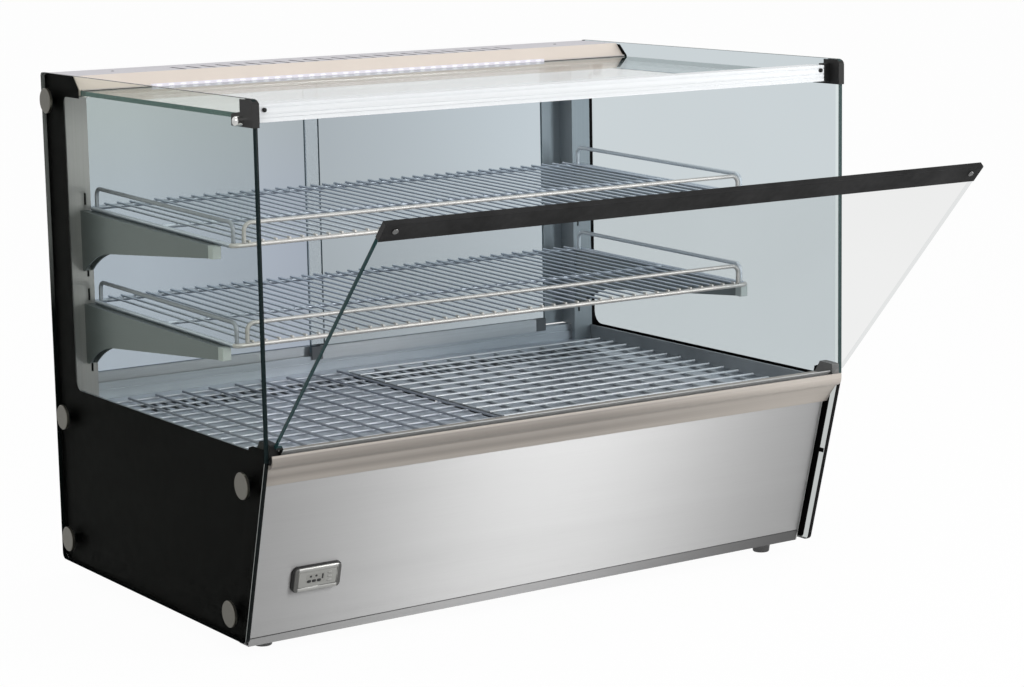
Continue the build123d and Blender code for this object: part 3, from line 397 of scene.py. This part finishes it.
def turned(name, colour, centres):
    """Turned metal: fine rings about the nearest cap's centre, from the sine of the distance to it."""
    f = Finish(name)
    flat = f.node("ShaderNodeVectorMath", {0: f.at, 1: (0.0, 1.0, 1.0)}, operation="MULTIPLY")
    nearest = None
    for y, z in centres:
        sockets = {0: flat, 1: (0.0, y * MM, z * MM)}
        far = f.node("ShaderNodeVectorMath", sockets, out="Value", operation="DISTANCE")
        nearest = far if nearest is None else f.math("MINIMUM", nearest, far)
    rings = f.math("SINE", f.math("MULTIPLY", nearest, RING_TURN / MM))
    wear = f.noise(120.0, detail=3.0)
    height = f.math("MULTIPLY_ADD", wear, 0.5, rings)
    return f.done(f.surface(Base_Color=f.drift(wear, colour, 0.08), Metallic=1.0,
                            Roughness=f.span(wear, 0.3, 0.42), Normal=f.bump(height, 0.12, 0.2)))


def bright(name, colour, roughness):
    """Polished or plated metal with faint smudges in its gloss."""
    f = Finish(name)
    smudge = f.noise(45.0, detail=4.0)
    ripple = f.bump(f.noise(220.0), 0.04, 0.2)
    return f.done(f.surface(Base_Color=f.drift(smudge, colour, 0.08), Metallic=1.0, Normal=ripple,
                            Roughness=f.span(smudge, roughness * 0.7, roughness * 1.4)))


def extruded(name, colour, roughness, metal=0.55, along=ALONG_X, gloss=0.5):
    """Anodised extrusion or satin sheet: lines drawn out along its run, slightly frosted."""
    f = Finish(name)
    lines = f.noise(700.0, tuple(0.004 if c else 1.0 for c in along), 3.0)
    return f.done(f.surface(
        Base_Color=f.drift(lines, colour, 0.05), Metallic=metal, Specular_IOR_Level=gloss,
        Roughness=f.span(lines, roughness - 0.05, roughness + 0.06), Normal=f.bump(lines, 0.08, 0.2)))


def lip_satin(colour):
    """Satin lip with painted shade and highlights: darker above its fold, a bright line under it, a soft dip
    lower down and a bright crest, and evenly lighter towards the right."""
    f = Finish("lip_satin")
    lines = f.noise(700.0, (0.004, 1.0, 1.0), 3.0)
    z = f.place("Z")
    # Painted shade above the fold and in the dip, a painted highlight on the crest, and painted light towards
    # the right.
    painted_fold_shade = f.span(z, 0.88, 0.58, *LIP_FOLD)
    painted_dip_shade = f.span(f.math("ABSOLUTE", f.math("SUBTRACT", z, LIP_DIP)), 0.76, 1.0, *LIP_DIP_REACH)
    painted_crest_highlight = f.span(z, 1.0, 1.7, *LIP_CREST)
    left = f.math("MULTIPLY", f.math("MULTIPLY", painted_fold_shade, painted_dip_shade), painted_crest_highlight)
    right = f.span(f.place("X"), 0.0, 1.0, *LIP_FADE)
    share = f.math("MULTIPLY_ADD", right, f.math("SUBTRACT", 1.0, left), left)
    tone = f.shade(share, grey(0.0), f.drift(lines, colour, 0.05))
    return f.done(f.surface(Base_Color=tone, Metallic=0.2, Roughness=f.span(lines, 0.4, 0.51),
                            Normal=f.bump(lines, 0.08, 0.2)))


def framed_metal(name, colour, sides):
    """Plated controller frame with painted shade along its left and right bars, and faint smudges in its
    gloss.
    """
    f = Finish(name)
    smudge = f.noise(45.0, detail=4.0)
    away = f.math("ABSOLUTE", f.math("SUBTRACT", f.place("X"), CONTROLLER_AT[0]))
    # Painted shade on the side bars.
    tone = f.shade(f.span(away, 0.0, 1.0, *BEZEL_BARS), f.drift(smudge, colour, 0.08), sides)
    return f.done(f.surface(Base_Color=tone, Metallic=1.0, Roughness=f.span(smudge, 0.25, 0.45)))


def coated(name, colour, roughness, grain=900.0, depth=0.12, spread=0.1, gloss=0.4):
    """Moulded or coated surface: fine grain in its height, a slow drift in its colour."""
    f = Finish(name)
    tone = f.drift(f.noise(18.0, detail=3.0), colour, spread)
    peel = f.noise(grain)
    return f.done(f.surface(
        Base_Color=tone, Roughness=f.span(peel, roughness - 0.06, roughness + 0.06),
        Specular_IOR_Level=gloss, Normal=f.bump(peel, depth, 0.3)))


def housing_coat():
    """Powder coat of the housing: fine grain, painted light and shade with a lit peach tone on the slant and
    a darker greyer one on top, and painted shade along the louvres' slits, from the distance in X to the
    nearest one."""
    f = Finish("housing_coat")
    x, y = f.place("X"), f.place("Y")
    slow = f.noise(18.0, detail=3.0)
    top = f.drift(slow, (0.52, 0.505, 0.54), 0.015)
    slant = f.drift(slow, (0.69, 0.615, 0.55), 0.015)
    # Painted light and shade: the slant lighter and warmer than the top.
    tone = f.shade(f.span(y, 0.0, 1.0, *RIDGE), slant, top)
    # Painted shade along the louvres' slits.
    away = f.math("PINGPONG", f.math("SUBTRACT", x, LOUVRE_FIRST), LOUVRE_PITCH / 2)
    field = f.math("MULTIPLY", f.within(y, *LOUVRE_Y), f.within(x, *LOUVRE_X))
    painted_slit_shade = f.math("MULTIPLY", f.math("LESS_THAN", away, LOUVRE_HALF), field)
    peel = f.noise(800.0)
    return f.done(f.surface(Base_Color=f.shade(painted_slit_shade, tone, (0.04, 0.04, 0.045)), Specular_IOR_Level=0.3,
                            Roughness=f.span(peel, 0.38, 0.5), Normal=f.bump(peel, 0.1, 0.3)))


def seal_line():
    """Seal under the housing: cream, with a thin grey-brown line along its foot."""
    f = Finish("seal_line")
    wear = f.noise(60.0, detail=3.0)
    cream = f.drift(wear, (0.62, 0.57, 0.54), 0.03)
    tone = f.shade(f.beyond("Z", -1, SEAL_FOOT), cream, (0.11, 0.10, 0.095))
    return f.done(f.surface(Base_Color=tone, Specular_IOR_Level=0.2, Roughness=f.span(wear, 0.45, 0.6)))


def two_sided(name, left, right):
    """Moulded blocks that differ from left to right, with a coarse grain."""
    f = Finish(name)
    grain = f.noise(650.0, detail=3.0)
    speckled = f.shade(f.span(grain, 0.0, 0.35), right, grey(0.2))
    tone = f.shade(f.beyond("X", 1, 0.0), left, speckled)
    return f.done(f.surface(Base_Color=tone, Roughness=f.span(grain, 0.45, 0.6), Specular_IOR_Level=0.2,
                            Normal=f.bump(grain, 0.3, 0.4)))


def wired(f, light, dark, share, rim=None):
    """Plated wire between two tones, warmer in front of rim's place, with faint smudges in its gloss."""
    smudge = f.noise(45.0, detail=4.0)
    tone = f.shade(share, f.drift(smudge, light, 0.08), dark)
    if rim:
        tone = f.shade(f.beyond("Y", -1, rim), tone, (0.50, 0.49, 0.475))
    ripple = f.bump(f.noise(220.0), 0.04, 0.2)
    return f.done(f.surface(Base_Color=tone, Metallic=0.5, Normal=ripple,
                            Roughness=f.span(smudge, 0.34, 0.48)))


def shelf_wire(name, light, dark):
    """Wire shelf whose wires carry painted shade below, from the upward lean of the normal."""
    f = Finish(name)
    return wired(f, light, dark, f.span(f.leaning(ALONG_Z), 1.0, 0.0, 0.05, 0.5), SHELF_RIM)


def fence_wire(name):
    """Bent fence wires, with a tone along the front and painted shade and light on the flanks, darker on the
    left and lighter on the right.
    """
    f = Finish(name)
    # Painted shade on the left flank, painted light on the right.
    flank = f.shade(f.beyond("X", 1, 0.0), (0.31, 0.335, 0.37), (0.56, 0.605, 0.65))
    outside = f.math("GREATER_THAN", f.math("ABSOLUTE", f.place("X")), FENCE_FLANK)
    return wired(f, (0.45, 0.445, 0.435), flank, outside)


def grid_wire(name, light, dark, side):
    """Floor grid whose wires along Y, in the upper or the lower layer, are painted dark as shade and dark
    reflection.
    """
    f = Finish(name)
    return wired(f, light, dark, f.beyond("Z", side, GRID_MIDDLE))


def lit(name, colour, low, high):
    """Lamp diffuser: brighter where a diode sits behind it, from the cosine of X over the pitch."""
    f = Finish(name)
    x = f.math("SUBTRACT", f.place("X"), LED_MIDDLE)
    wave = f.math("COSINE", f.math("MULTIPLY", x, 2.0 * math.pi / LED_PITCH))
    glow = f.span(wave, low, high, -0.4, 0.9)
    frost = f.bump(f.noise(700.0), 0.05, 0.2)
    return f.done(f.surface(Base_Color=(0.08, 0.08, 0.085, 1.0), Roughness=0.5, Specular_IOR_Level=0.1,
                            Emission_Color=(*colour, 1.0), Emission_Strength=glow, Normal=frost))


def heat_tinted(name):
    """Tubular heater: steel that has gone straw and blue in bands along its run."""
    f = Finish(name)
    band = f.noise(9.0, detail=4.0)
    colour = f.shade(f.span(band, 0.0, 1.0), (0.16, 0.15, 0.17), (0.36, 0.29, 0.22))
    scale = f.bump(f.noise(300.0, detail=4.0), 0.2, 0.4)
    return f.done(f.surface(Base_Color=colour, Metallic=0.9, Roughness=f.span(band, 0.38, 0.6), Normal=scale))


def tilted(vector):
    """A direction of the upright front glass, turned open about the hinge."""
    x, y, z = vector
    return (x, y * math.cos(OPEN) - z * math.sin(OPEN), y * math.sin(OPEN) + z * math.cos(OPEN))


# Finishes by the CAD's material, and of single nodes by name
finish = {
    "black_print": printed("black_print"),
    "cap_metal": turned("turned_cap", (0.135, 0.13, 0.112), CAP_CENTRES),
    "black_plastic": coated("black_plastic", grey(0.012), 0.5, gloss=0.2),
    "black_sheet": coated("black_sheet", grey(0.012), 0.55, 600.0, gloss=0.2),
    "steel": brushed("brushed_steel", (0.50, 0.50, 0.495), ALONG_X, 0.36),
    "bright_steel": extruded("post_steel", (0.26, 0.295, 0.32), 0.4, 0.4, ALONG_Z),
    "arm_steel": extruded("arm_steel", (0.185, 0.212, 0.215), 0.42, 0.4, ALONG_Y),
    "wire": shelf_wire("shelf_wire", (0.66, 0.72, 0.80), (0.30, 0.335, 0.39)),
    "grey_plastic": coated("grey_plastic", (0.47, 0.52, 0.51), 0.45),
    "dark_sheet": coated("dark_sheet", (0.245, 0.27, 0.29), 0.4, 500.0),
    "rubber": coated("rubber", grey(0.010), 0.62, 1200.0, gloss=0.2),
    "cream_sheet": coated("cream_sheet", (0.70, 0.645, 0.615), 0.42, 800.0, 0.1, 0.02),
    "alu": extruded("rail_alu", (0.52, 0.53, 0.54), 0.38),
    "chrome": bright("chrome", (0.62, 0.62, 0.61), 0.08),
    "lamp": lit("lamp_strip", (0.76, 0.735, 0.81), 0.95, 1.05),
    "display": coated("display_window", (0.27, 0.27, 0.255), 0.3, 400.0, 0.02, 0.1, 0.3),
    "keypad": coated("keypad", (0.30, 0.30, 0.285), 0.42, 700.0, gloss=0.3),
    "heater": heat_tinted("heater_tube"),
}
of_its_own = {
    "side_glass_left": pane("left_pane", ALONG_X, LEFT_TINT, BLACK_EDGE, CLEAR,
                            [("Z", -1, PRINT_FOOT, grey(0.02)), ("Y", 1, PRINT_REAR, grey(0.02))]),
    "side_glass_right": pane("right_pane", ALONG_X, RIGHT_TINT, BLACK_EDGE, CLEAR,
                             [("Y", -1, MARGIN_FRONT, RIGHT_RIM_TINT), ("Z", -1, MARGIN_TOP, MARGIN_TINT)]),
    "door_left_glass": pane("left_door_pane", ALONG_Y, DOOR_LEFT_TINT, DOOR_EDGE, CLEAR,
                            [("X", 1, DOOR_OVERLAP, OVERLAP_TINT)],
                            painted_door_shade(DOOR_LEFT_FADE, 1.0, 0.895, 0.97, DOOR_HIGH_TINT)),
    "door_right_glass": pane("right_door_pane", ALONG_Y, DOOR_RIGHT_TINT, DOOR_EDGE, CLEAR,
                             marked=painted_door_shade(DOOR_RIGHT_FADE, 0.83, 0.965, 0.95)),
    "front_glass": pane("front_pane", tilted(ALONG_Y), FRONT_TINT, FRONT_EDGE, CLEAR,
                        clear_end=FRONT_GLASS_CLEAR_END, capped=FRONT_GLASS_BARE),
    "top_glass": pane("top_pane", ALONG_Z, TOP_TINT, TOP_EDGE, (0.72, 0.0)),
    "front_panel": brushed("panel_steel", grey(0.345), ALONG_X, 0.42, 1.0, 0.03, foot_strip),
    "front_lip": lip_satin((0.41, 0.373, 0.336)),
    "hinge_rail": extruded("hinge_alu", grey(0.58), 0.4, 0.15),
    "top_rail": extruded("top_alu", (0.77, 0.79, 0.805), 0.5, 0.0, gloss=0.1),
    "rear_sill": extruded("sill_alu", (0.44, 0.485, 0.53), 0.38, 0.4),
    "door_left_caps": coated("door_cap_left", (0.12, 0.13, 0.14), 0.5, gloss=0.2),
    "door_right_caps": coated("door_cap_right", (0.12, 0.13, 0.14), 0.5, gloss=0.2),
    "housing_seal": seal_line(),
    "handle_screws": bright("handle_screw", grey(0.16), 0.2),
    "upper_fences": fence_wire("upper_fence_wire"),
    "lower_fences": fence_wire("lower_fence_wire"),
    "glass_handle": coated("handle_black", (0.013, 0.013, 0.0133), 0.55, 120.0, 0.25, 0.5, 0.1),
    "corner_bracket_left": coated("bracket_black", grey(0.016), 0.5, gloss=0.2),
    "corner_bracket_right": coated("bracket_black_right", grey(0.016), 0.5, gloss=0.2),
    "hinge_blocks": two_sided("hinge_black", grey(0.006), grey(0.16)),
    "deck": brushed("deck_steel", (0.50, 0.53, 0.575), ALONG_X, 0.4),
    "grid_left": grid_wire("grid_wire_left", (0.60, 0.63, 0.685), (0.34, 0.36, 0.405), 1),
    "grid_right": grid_wire("grid_wire_right", (0.66, 0.69, 0.72), (0.40, 0.425, 0.445), -1),
    # The left post's steel is lighter than the right one's: painted light.
    "post_left": extruded("post_steel_left_painted_light", (0.345, 0.345, 0.34), 0.4, 0.4, ALONG_Z),
    "door_left_rail": extruded("door_alu_left", (0.44, 0.47, 0.50), 0.35),
    "door_right_rail": extruded("door_alu_right", (0.50, 0.53, 0.56), 0.35),
    "top_housing": housing_coat(),
    "feet": bright("foot_metal", grey(0.13), 0.3),
}
for name, node in nodes.items():
    slot = node.material_slots[0]
    slot.material = of_its_own.get(name) or finish[slot.material.name]


def add_piece(name, grids, material, body, wrap=(True, True)):
    """Puts grids of points into one mesh. Each grid is an array of rows by columns by three, in
    millimetres, its rows and columns closed on themselves where wrap says so; points that meet, as at
    a pole, are merged."""
    grids = np.asarray(grids, float) * MM
    count, rows, columns = grids.shape[:3]
    r = np.arange(rows if wrap[0] else rows - 1)
    c = np.arange(columns if wrap[1] else columns - 1)
    r, c = np.meshgrid(r, c, indexing="ij")
    r2, c2 = (r + 1) % rows, (c + 1) % columns
    corners = [r * columns + c, r * columns + c2, r2 * columns + c2, r2 * columns + c]
    quads = np.stack(corners, -1).reshape(-1, 4)
    quads = (quads[None] + (np.arange(count) * rows * columns)[:, None, None]).reshape(-1, 4)
    mesh = bpy.data.meshes.new(name)
    mesh.from_pydata(grids.reshape(-1, 3).tolist(), [], quads.tolist())
    shaped = bmesh.new()
    shaped.from_mesh(mesh)
    bmesh.ops.remove_doubles(shaped, verts=shaped.verts, dist=1e-7)
    bmesh.ops.recalc_face_normals(shaped, faces=shaped.faces)
    shaped.to_mesh(mesh)
    shaped.free()
    mesh.polygons.foreach_set("use_smooth", np.ones(len(mesh.polygons), bool))
    mesh.materials.append(material)
    piece = bpy.data.objects.new(name, mesh)
    bpy.context.scene.collection.objects.link(piece)
    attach(piece, body)
    return piece


def rounded_loop(width, height, radius, steps=7):
    """Rounded rectangle as points and outward normals: each corner is a quarter circle about a centre
    that lies the radius in from both sides."""
    turn = np.linspace(0.0, math.pi / 2, steps)[None, :] + (np.arange(4) * math.pi / 2)[:, None]
    out = np.stack([np.cos(turn), np.sin(turn)], -1)
    signs = np.array([(1, 1), (-1, 1), (-1, -1), (1, -1)], float)
    centre = signs * (np.array([width, height]) / 2 - radius)
    return (centre[:, None] + radius * out).reshape(-1, 2), out.reshape(-1, 2)


def on_panel(flat, height):
    """Points of the controller's face, from places across and up the panel and heights off it."""
    on_face = CONTROLLER_AT + flat[..., :1] * ACROSS + flat[..., 1:] * PANEL_UP
    return on_face + height[..., None] * PANEL_OUT


def framed(width, height, radius, profile):
    """A profile of depths in from the outline and heights off the panel, carried round a rounded
    rectangle."""
    points, out = rounded_loop(width, height, radius)
    depth, lift = np.array(profile, float).T
    flat = points[:, None] - out[:, None] * depth[None, :, None]
    return on_panel(flat, np.broadcast_to(lift, flat.shape[:2]))[None]


def domes(centres, out, radius, height, columns=12, length=1.0, rows=5):
    """Low domes: their radius falls as the cosine and their height grows as the sine of a quarter turn,
    a flat underside closes them, and length draws them out across."""
    out = np.array(out)
    rise = np.concatenate([[0.0], np.linspace(0.0, math.pi / 2, rows)])
    reach = radius * np.cos(rise)
    reach[0] = 0.0
    lift = height * np.sin(rise)
    turn = np.linspace(0.0, 2 * math.pi, columns, endpoint=False)
    up = np.cross(out, ACROSS)
    ring = length * np.cos(turn)[:, None] * ACROSS + np.sin(turn)[:, None] * up
    shape = reach[:, None, None] * ring[None] + lift[:, None, None] * out
    return np.asarray(centres, float)[:, None, None, :] + shape[None]


def filleted(corners, radii, steps=6):
    """Closed outline round convex corners, as points and outward normals: each arc's centre lies on the
    corner's bisector at the radius from both sides, and its normals turn evenly from one side to the
    next."""
    p = np.array(corners, float)
    r = np.array(radii, float)[:, None]
    a, b = np.roll(p, 1, 0) - p, np.roll(p, -1, 0) - p
    a, b = a / np.linalg.norm(a, axis=1, keepdims=True), b / np.linalg.norm(b, axis=1, keepdims=True)
    half = np.arccos((a * b).sum(1, keepdims=True)) / 2
    middle = (a + b) / np.linalg.norm(a + b, axis=1, keepdims=True)
    centre = p + middle * r / np.sin(half)
    first, last = p + a * r / np.tan(half) - centre, p + b * r / np.tan(half) - centre
    t = np.linspace(0.0, 1.0, steps)[None, :, None]
    out = first[:, None] * (1 - t) + last[:, None] * t
    out /= np.linalg.norm(out, axis=2, keepdims=True)
    return (centre[:, None] + r[:, None] * out).reshape(-1, 2), out.reshape(-1, 2)


def ribbon(path, out, side, proud=0.22, sunk=0.05, arcs=6):
    """Polished pane edge: across the thickness it bulges as one minus the square of the place across,
    and a flat back lies just inside the glass."""
    a = np.linspace(-1.0, 1.0, arcs)
    across = np.concatenate([a, a[::-1]]) * HALF_GLASS
    bulge = np.concatenate([proud * (1 - a ** 2), np.full(arcs, -sunk)])
    return (path[:, None] + across[None, :, None] * side + bulge[None, :, None] * out[:, None])[None]


def closed_ends(grid):
    """Ends of an open run drawn together to a point, so that it closes."""
    first = np.broadcast_to(grid[:, :1].mean(2, keepdims=True), grid[:, :1].shape)
    last = np.broadcast_to(grid[:, -1:].mean(2, keepdims=True), grid[:, -1:].shape)
    return np.concatenate([first, grid, last], 1)


def pads(places, thick, sunk=0.05, chamfer=0.12):
    """Low pads on the controller's face, one for each place across, place up, width and height: a rounded
    rectangle drawn in to its middle at both ends and raised by the thickness."""
    made = []
    for across, up, width, height in places:
        points, out = rounded_loop(width, height, 0.45 * min(width, height), 4)
        middle = np.array([across, up])
        rings = [points * 0.0, points, points - chamfer * out, points * 0.0]
        heights = [FACE - sunk, FACE - sunk, FACE + thick, FACE + thick]
        made.append(np.stack([on_panel(middle + r, np.full(len(r), h)) for r, h in zip(rings, heights)]))
    return np.stack(made)


def trough(x):
    """Black liner behind a post's slots, a sheet standing in for the shade inside the post: across its width
    the back bows as one minus the square of the place across, and the section is carried straight up."""
    a = np.linspace(-1.0, 1.0, 7)
    bow = LINER_FRONT + LINER_BOW * (1 - a ** 2)
    across = np.concatenate([a, a[::-1]]) * LINER_HALF + x
    section = np.stack([across, np.concatenate([bow, bow[::-1] + LINER_THICK])], -1)
    z = np.linspace(*LINER_RUN, 9)
    flat = np.broadcast_to(section, (len(z), *section.shape))
    return np.concatenate([flat, np.broadcast_to(z[:, None, None], (*flat.shape[:2], 1))], 2)[None]


# Controller: its dark skirt, its rounded frame, its display marks and its keys
skirt_profile = [(0, 0.02), (0, 3.3), (0.5, 4.3), (1.2, 4.8), (2.3, 4.8), (2.3, 0.02)]
skirt_black = coated("skirt_black", grey(0.020), 0.4, gloss=0.35)
add_piece("controller_skirt", framed(*BEZEL, skirt_profile), skirt_black, "case")
lap = np.linspace(0.0, math.pi, 9)
round_top = [(FRAME_IN - FRAME_HALF * math.cos(t), FRAME_FOOT + FRAME_RISE * math.sin(t)) for t in lap]
frame_profile = [(FRAME_IN - FRAME_HALF, FRAME_BASE), *round_top, (FRAME_IN + FRAME_HALF, FRAME_BASE)]
frame_metal = framed_metal("frame_metal", (0.40, 0.40, 0.385), (0.13, 0.13, 0.125))
rim = add_piece("controller_frame", framed(*BEZEL, frame_profile), frame_metal, "case")
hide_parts("controller_bezel")
mark_places = [(-11.6 + 6.9 * i, -3.2, 5.9, 3.9) for i in range(3)]
mark_places += [(-9.5, 3.1, 3.2, 2.9), (-2.0, 3.4, 3.2, 2.9), (6.9, 1.6, 2.4, 7.2)]
display_ink = coated("display_ink", grey(0.012), 0.5)
add_piece("display_marks", pads(mark_places, 0.12), display_ink, "case", (False, True))
key_places = [(16.5, up, 7.0, 3.4) for up in (5.4, 0.0, -5.4)]
key_skin = coated("key_skin", (0.32, 0.32, 0.305), 0.45, 700.0)
add_piece("controller_keys", pads(key_places, 0.35), key_skin, "case", (False, True))

# Lamp diodes
diode_x = LED_MIDDLE + (np.arange(DIODES) - DIODES // 2) * LED_PITCH
diode_at = np.stack([diode_x, np.full(DIODES, LED_FRONT), np.full(DIODES, LED_Z)], -1)
add_piece("lamp_diodes", domes(diode_at, (0.0, -1.0, 0.0), 0.9, 0.8, length=5.0),
          lit("lamp_diode", (0.97, 0.97, 1.0), 1.0, 1.1), "case", (False, True))

# Screws of the housing, and black liners behind the slots of the posts that stand in for the shade inside
# them
add_piece("housing_screws", domes(SCREW_AT, ALONG_Z, 2.4, 0.9, 16),
          bright("housing_screw", (0.20, 0.20, 0.21), 0.3), "case", (False, True))
slot_shade_black = coated("slot_shade_black", (0.022, 0.024, 0.026), 0.5, gloss=0.2)
for side, name in ((-1, "painted_slot_shade_left"), (1, "painted_slot_shade_right")):
    add_piece(name, closed_ends(trough(side * LINER_X)), slot_shade_black, "case", (False, True))

# Polished edges of the side glasses
side_points, side_out = filleted(SIDE_GLASS_CORNERS, SIDE_GLASS_RADII)
zero = np.zeros((len(side_points), 1))
side_edges = {
    "side_edge_left": (-1, cut_edge("edge_left", BLACK_EDGE, (0.007, 0.014, 0.015), REAR_EDGE, ARRIS_LEFT)),
    "side_edge_right": (1, cut_edge("edge_right", grey(0.005), (0.042, 0.068, 0.068), REAR_EDGE)),
}
for name, (side, edge) in side_edges.items():
    run = np.concatenate([zero + side * SIDE_GLASS_X, side_points], 1)
    lean_out = np.concatenate([zero, side_out], 1)
    add_piece(name, ribbon(run, lean_out, ACROSS), edge, "case")

# Polished edges of the front and top glasses
up_glass = HINGE + np.linspace(*FRONT_GLASS_RUN, 25)[:, None] * np.array(tilted(ALONG_Z))
over_top = np.linspace(*TOP_GLASS_RUN, 25)[:, None] * np.array(ALONG_Y) + TOP_GLASS_Z * np.array(ALONG_Z)
straight_edges = {
    "front_edge_left": ("front_door", up_glass - FRONT_GLASS_X * ACROSS, tilted(ALONG_Y), -1, FRONT_EDGE),
    "top_edge_left": ("case", over_top - TOP_GLASS_X * ACROSS, ALONG_Z, -1, TOP_EDGE),
    "top_edge_right": ("case", over_top + TOP_GLASS_X * ACROSS, ALONG_Z, 1, TOP_EDGE),
}
for name, (body, run, across, side, colour) in straight_edges.items():
    lean_out = np.broadcast_to(side * ACROSS, run.shape)
    add_piece(name, closed_ends(ribbon(run, lean_out, np.array(across))), ground_edge(name, colour), body,
              (False, True))


# Stage
def stage_white(f, camera_share, metal_share):
    """Share of plain white that a ray sees: one for camera and transmission rays, another for glossy
    rays."""
    seen = f.math("MULTIPLY", f.math("MAXIMUM", f.ray("Camera"), f.ray("Transmission")), camera_share)
    return f.math("MAXIMUM", seen, f.math("MULTIPLY", f.ray("Glossy"), metal_share))


def floor_finish():
    """Pale matt floor that keeps the case's shadow under a white share."""
    f = Finish("studio_floor")
    matt = f.node("ShaderNodeBsdfDiffuse", {"Color": f.shade(f.noise(0.8), grey(0.90), grey(0.92))})
    white = f.node("ShaderNodeEmission", {"Color": (1, 1, 1, 1), "Strength": 1.0})
    return f.done(f.mixed(stage_white(f, FLOOR_WHITE, FLOOR_WHITE_IN_METAL), matt, white))


floor_mesh = bpy.data.meshes.new("studio_floor")
floor_corners = [(x * FLOOR_REACH, y * FLOOR_REACH, 0) for x, y in ((-1, -1), (1, -1), (1, 1), (-1, 1))]
floor_mesh.from_pydata(floor_corners, [], [(0, 1, 2, 3)])
floor_mesh.materials.append(floor_finish())
floor = bpy.data.objects.new("studio_floor", floor_mesh)
bpy.context.scene.collection.objects.link(floor)

world = bpy.data.worlds.new("studio")
world.use_nodes = True
sky = Graph(world.node_tree)
soft = sky.node("ShaderNodeBackground", {"Color": (1, 1, 1, 1), "Strength": WORLD_LIGHT})
plain = sky.node("ShaderNodeBackground", {"Color": (1, 1, 1, 1), "Strength": 1.0})
sky.end("ShaderNodeOutputWorld", sky.mixed(stage_white(sky, 1.0, 1.0), soft, plain))
bpy.context.scene.world = world


def soft_lamp(name, at, aim, width, height, watts):
    """Rectangular soft box turned to a point."""
    data = bpy.data.lights.new(name, "AREA")
    data.shape = "RECTANGLE"
    data.size, data.size_y, data.energy = width, height, watts
    lamp = bpy.data.objects.new(name, data)
    lamp.location = at
    lamp.rotation_euler = (Vector(aim) - Vector(at)).to_track_quat("-Z", "Y").to_euler()
    lamp.visible_camera = False
    bpy.context.scene.collection.objects.link(lamp)


soft_lamp("key_box", (-2.2, -2.4, 2.8), (0.0, 0.0, 0.35), 2.0, 2.0, 30.0)
soft_lamp("tall_box", (1.55, -2.55, 1.05), (0.05, -0.25, 0.15), 0.6, 1.9, 44.0)
soft_lamp("top_box", (0.3, 0.4, 2.9), (0.0, 0.0, 0.4), 2.2, 2.2, 16.0)

# Camera
back = Vector((math.sin(CAMERA_TURN) * math.cos(CAMERA_LIFT), -math.cos(CAMERA_TURN) * math.cos(CAMERA_LIFT),
               math.sin(CAMERA_LIFT)))
level = Vector(ALONG_Z).cross(back).normalized()
upward = back.cross(level)
right = math.cos(CAMERA_ROLL) * level + math.sin(CAMERA_ROLL) * upward
up = -math.sin(CAMERA_ROLL) * level + math.cos(CAMERA_ROLL) * upward
lens = bpy.data.cameras.new("photo_camera")
lens.sensor_fit = "HORIZONTAL"
lens.sensor_width = SENSOR
lens.lens = FOCAL_PIXELS * SENSOR / PICTURE_WIDTH
camera = bpy.data.objects.new("photo_camera", lens)
turned_to = Matrix((right, up, back)).transposed().to_4x4()
camera.matrix_world = Matrix.Translation(CAMERA_AT) @ turned_to
bpy.context.scene.collection.objects.link(camera)
bpy.context.scene.camera = camera
bpy.context.scene.view_settings.view_transform = "Standard"
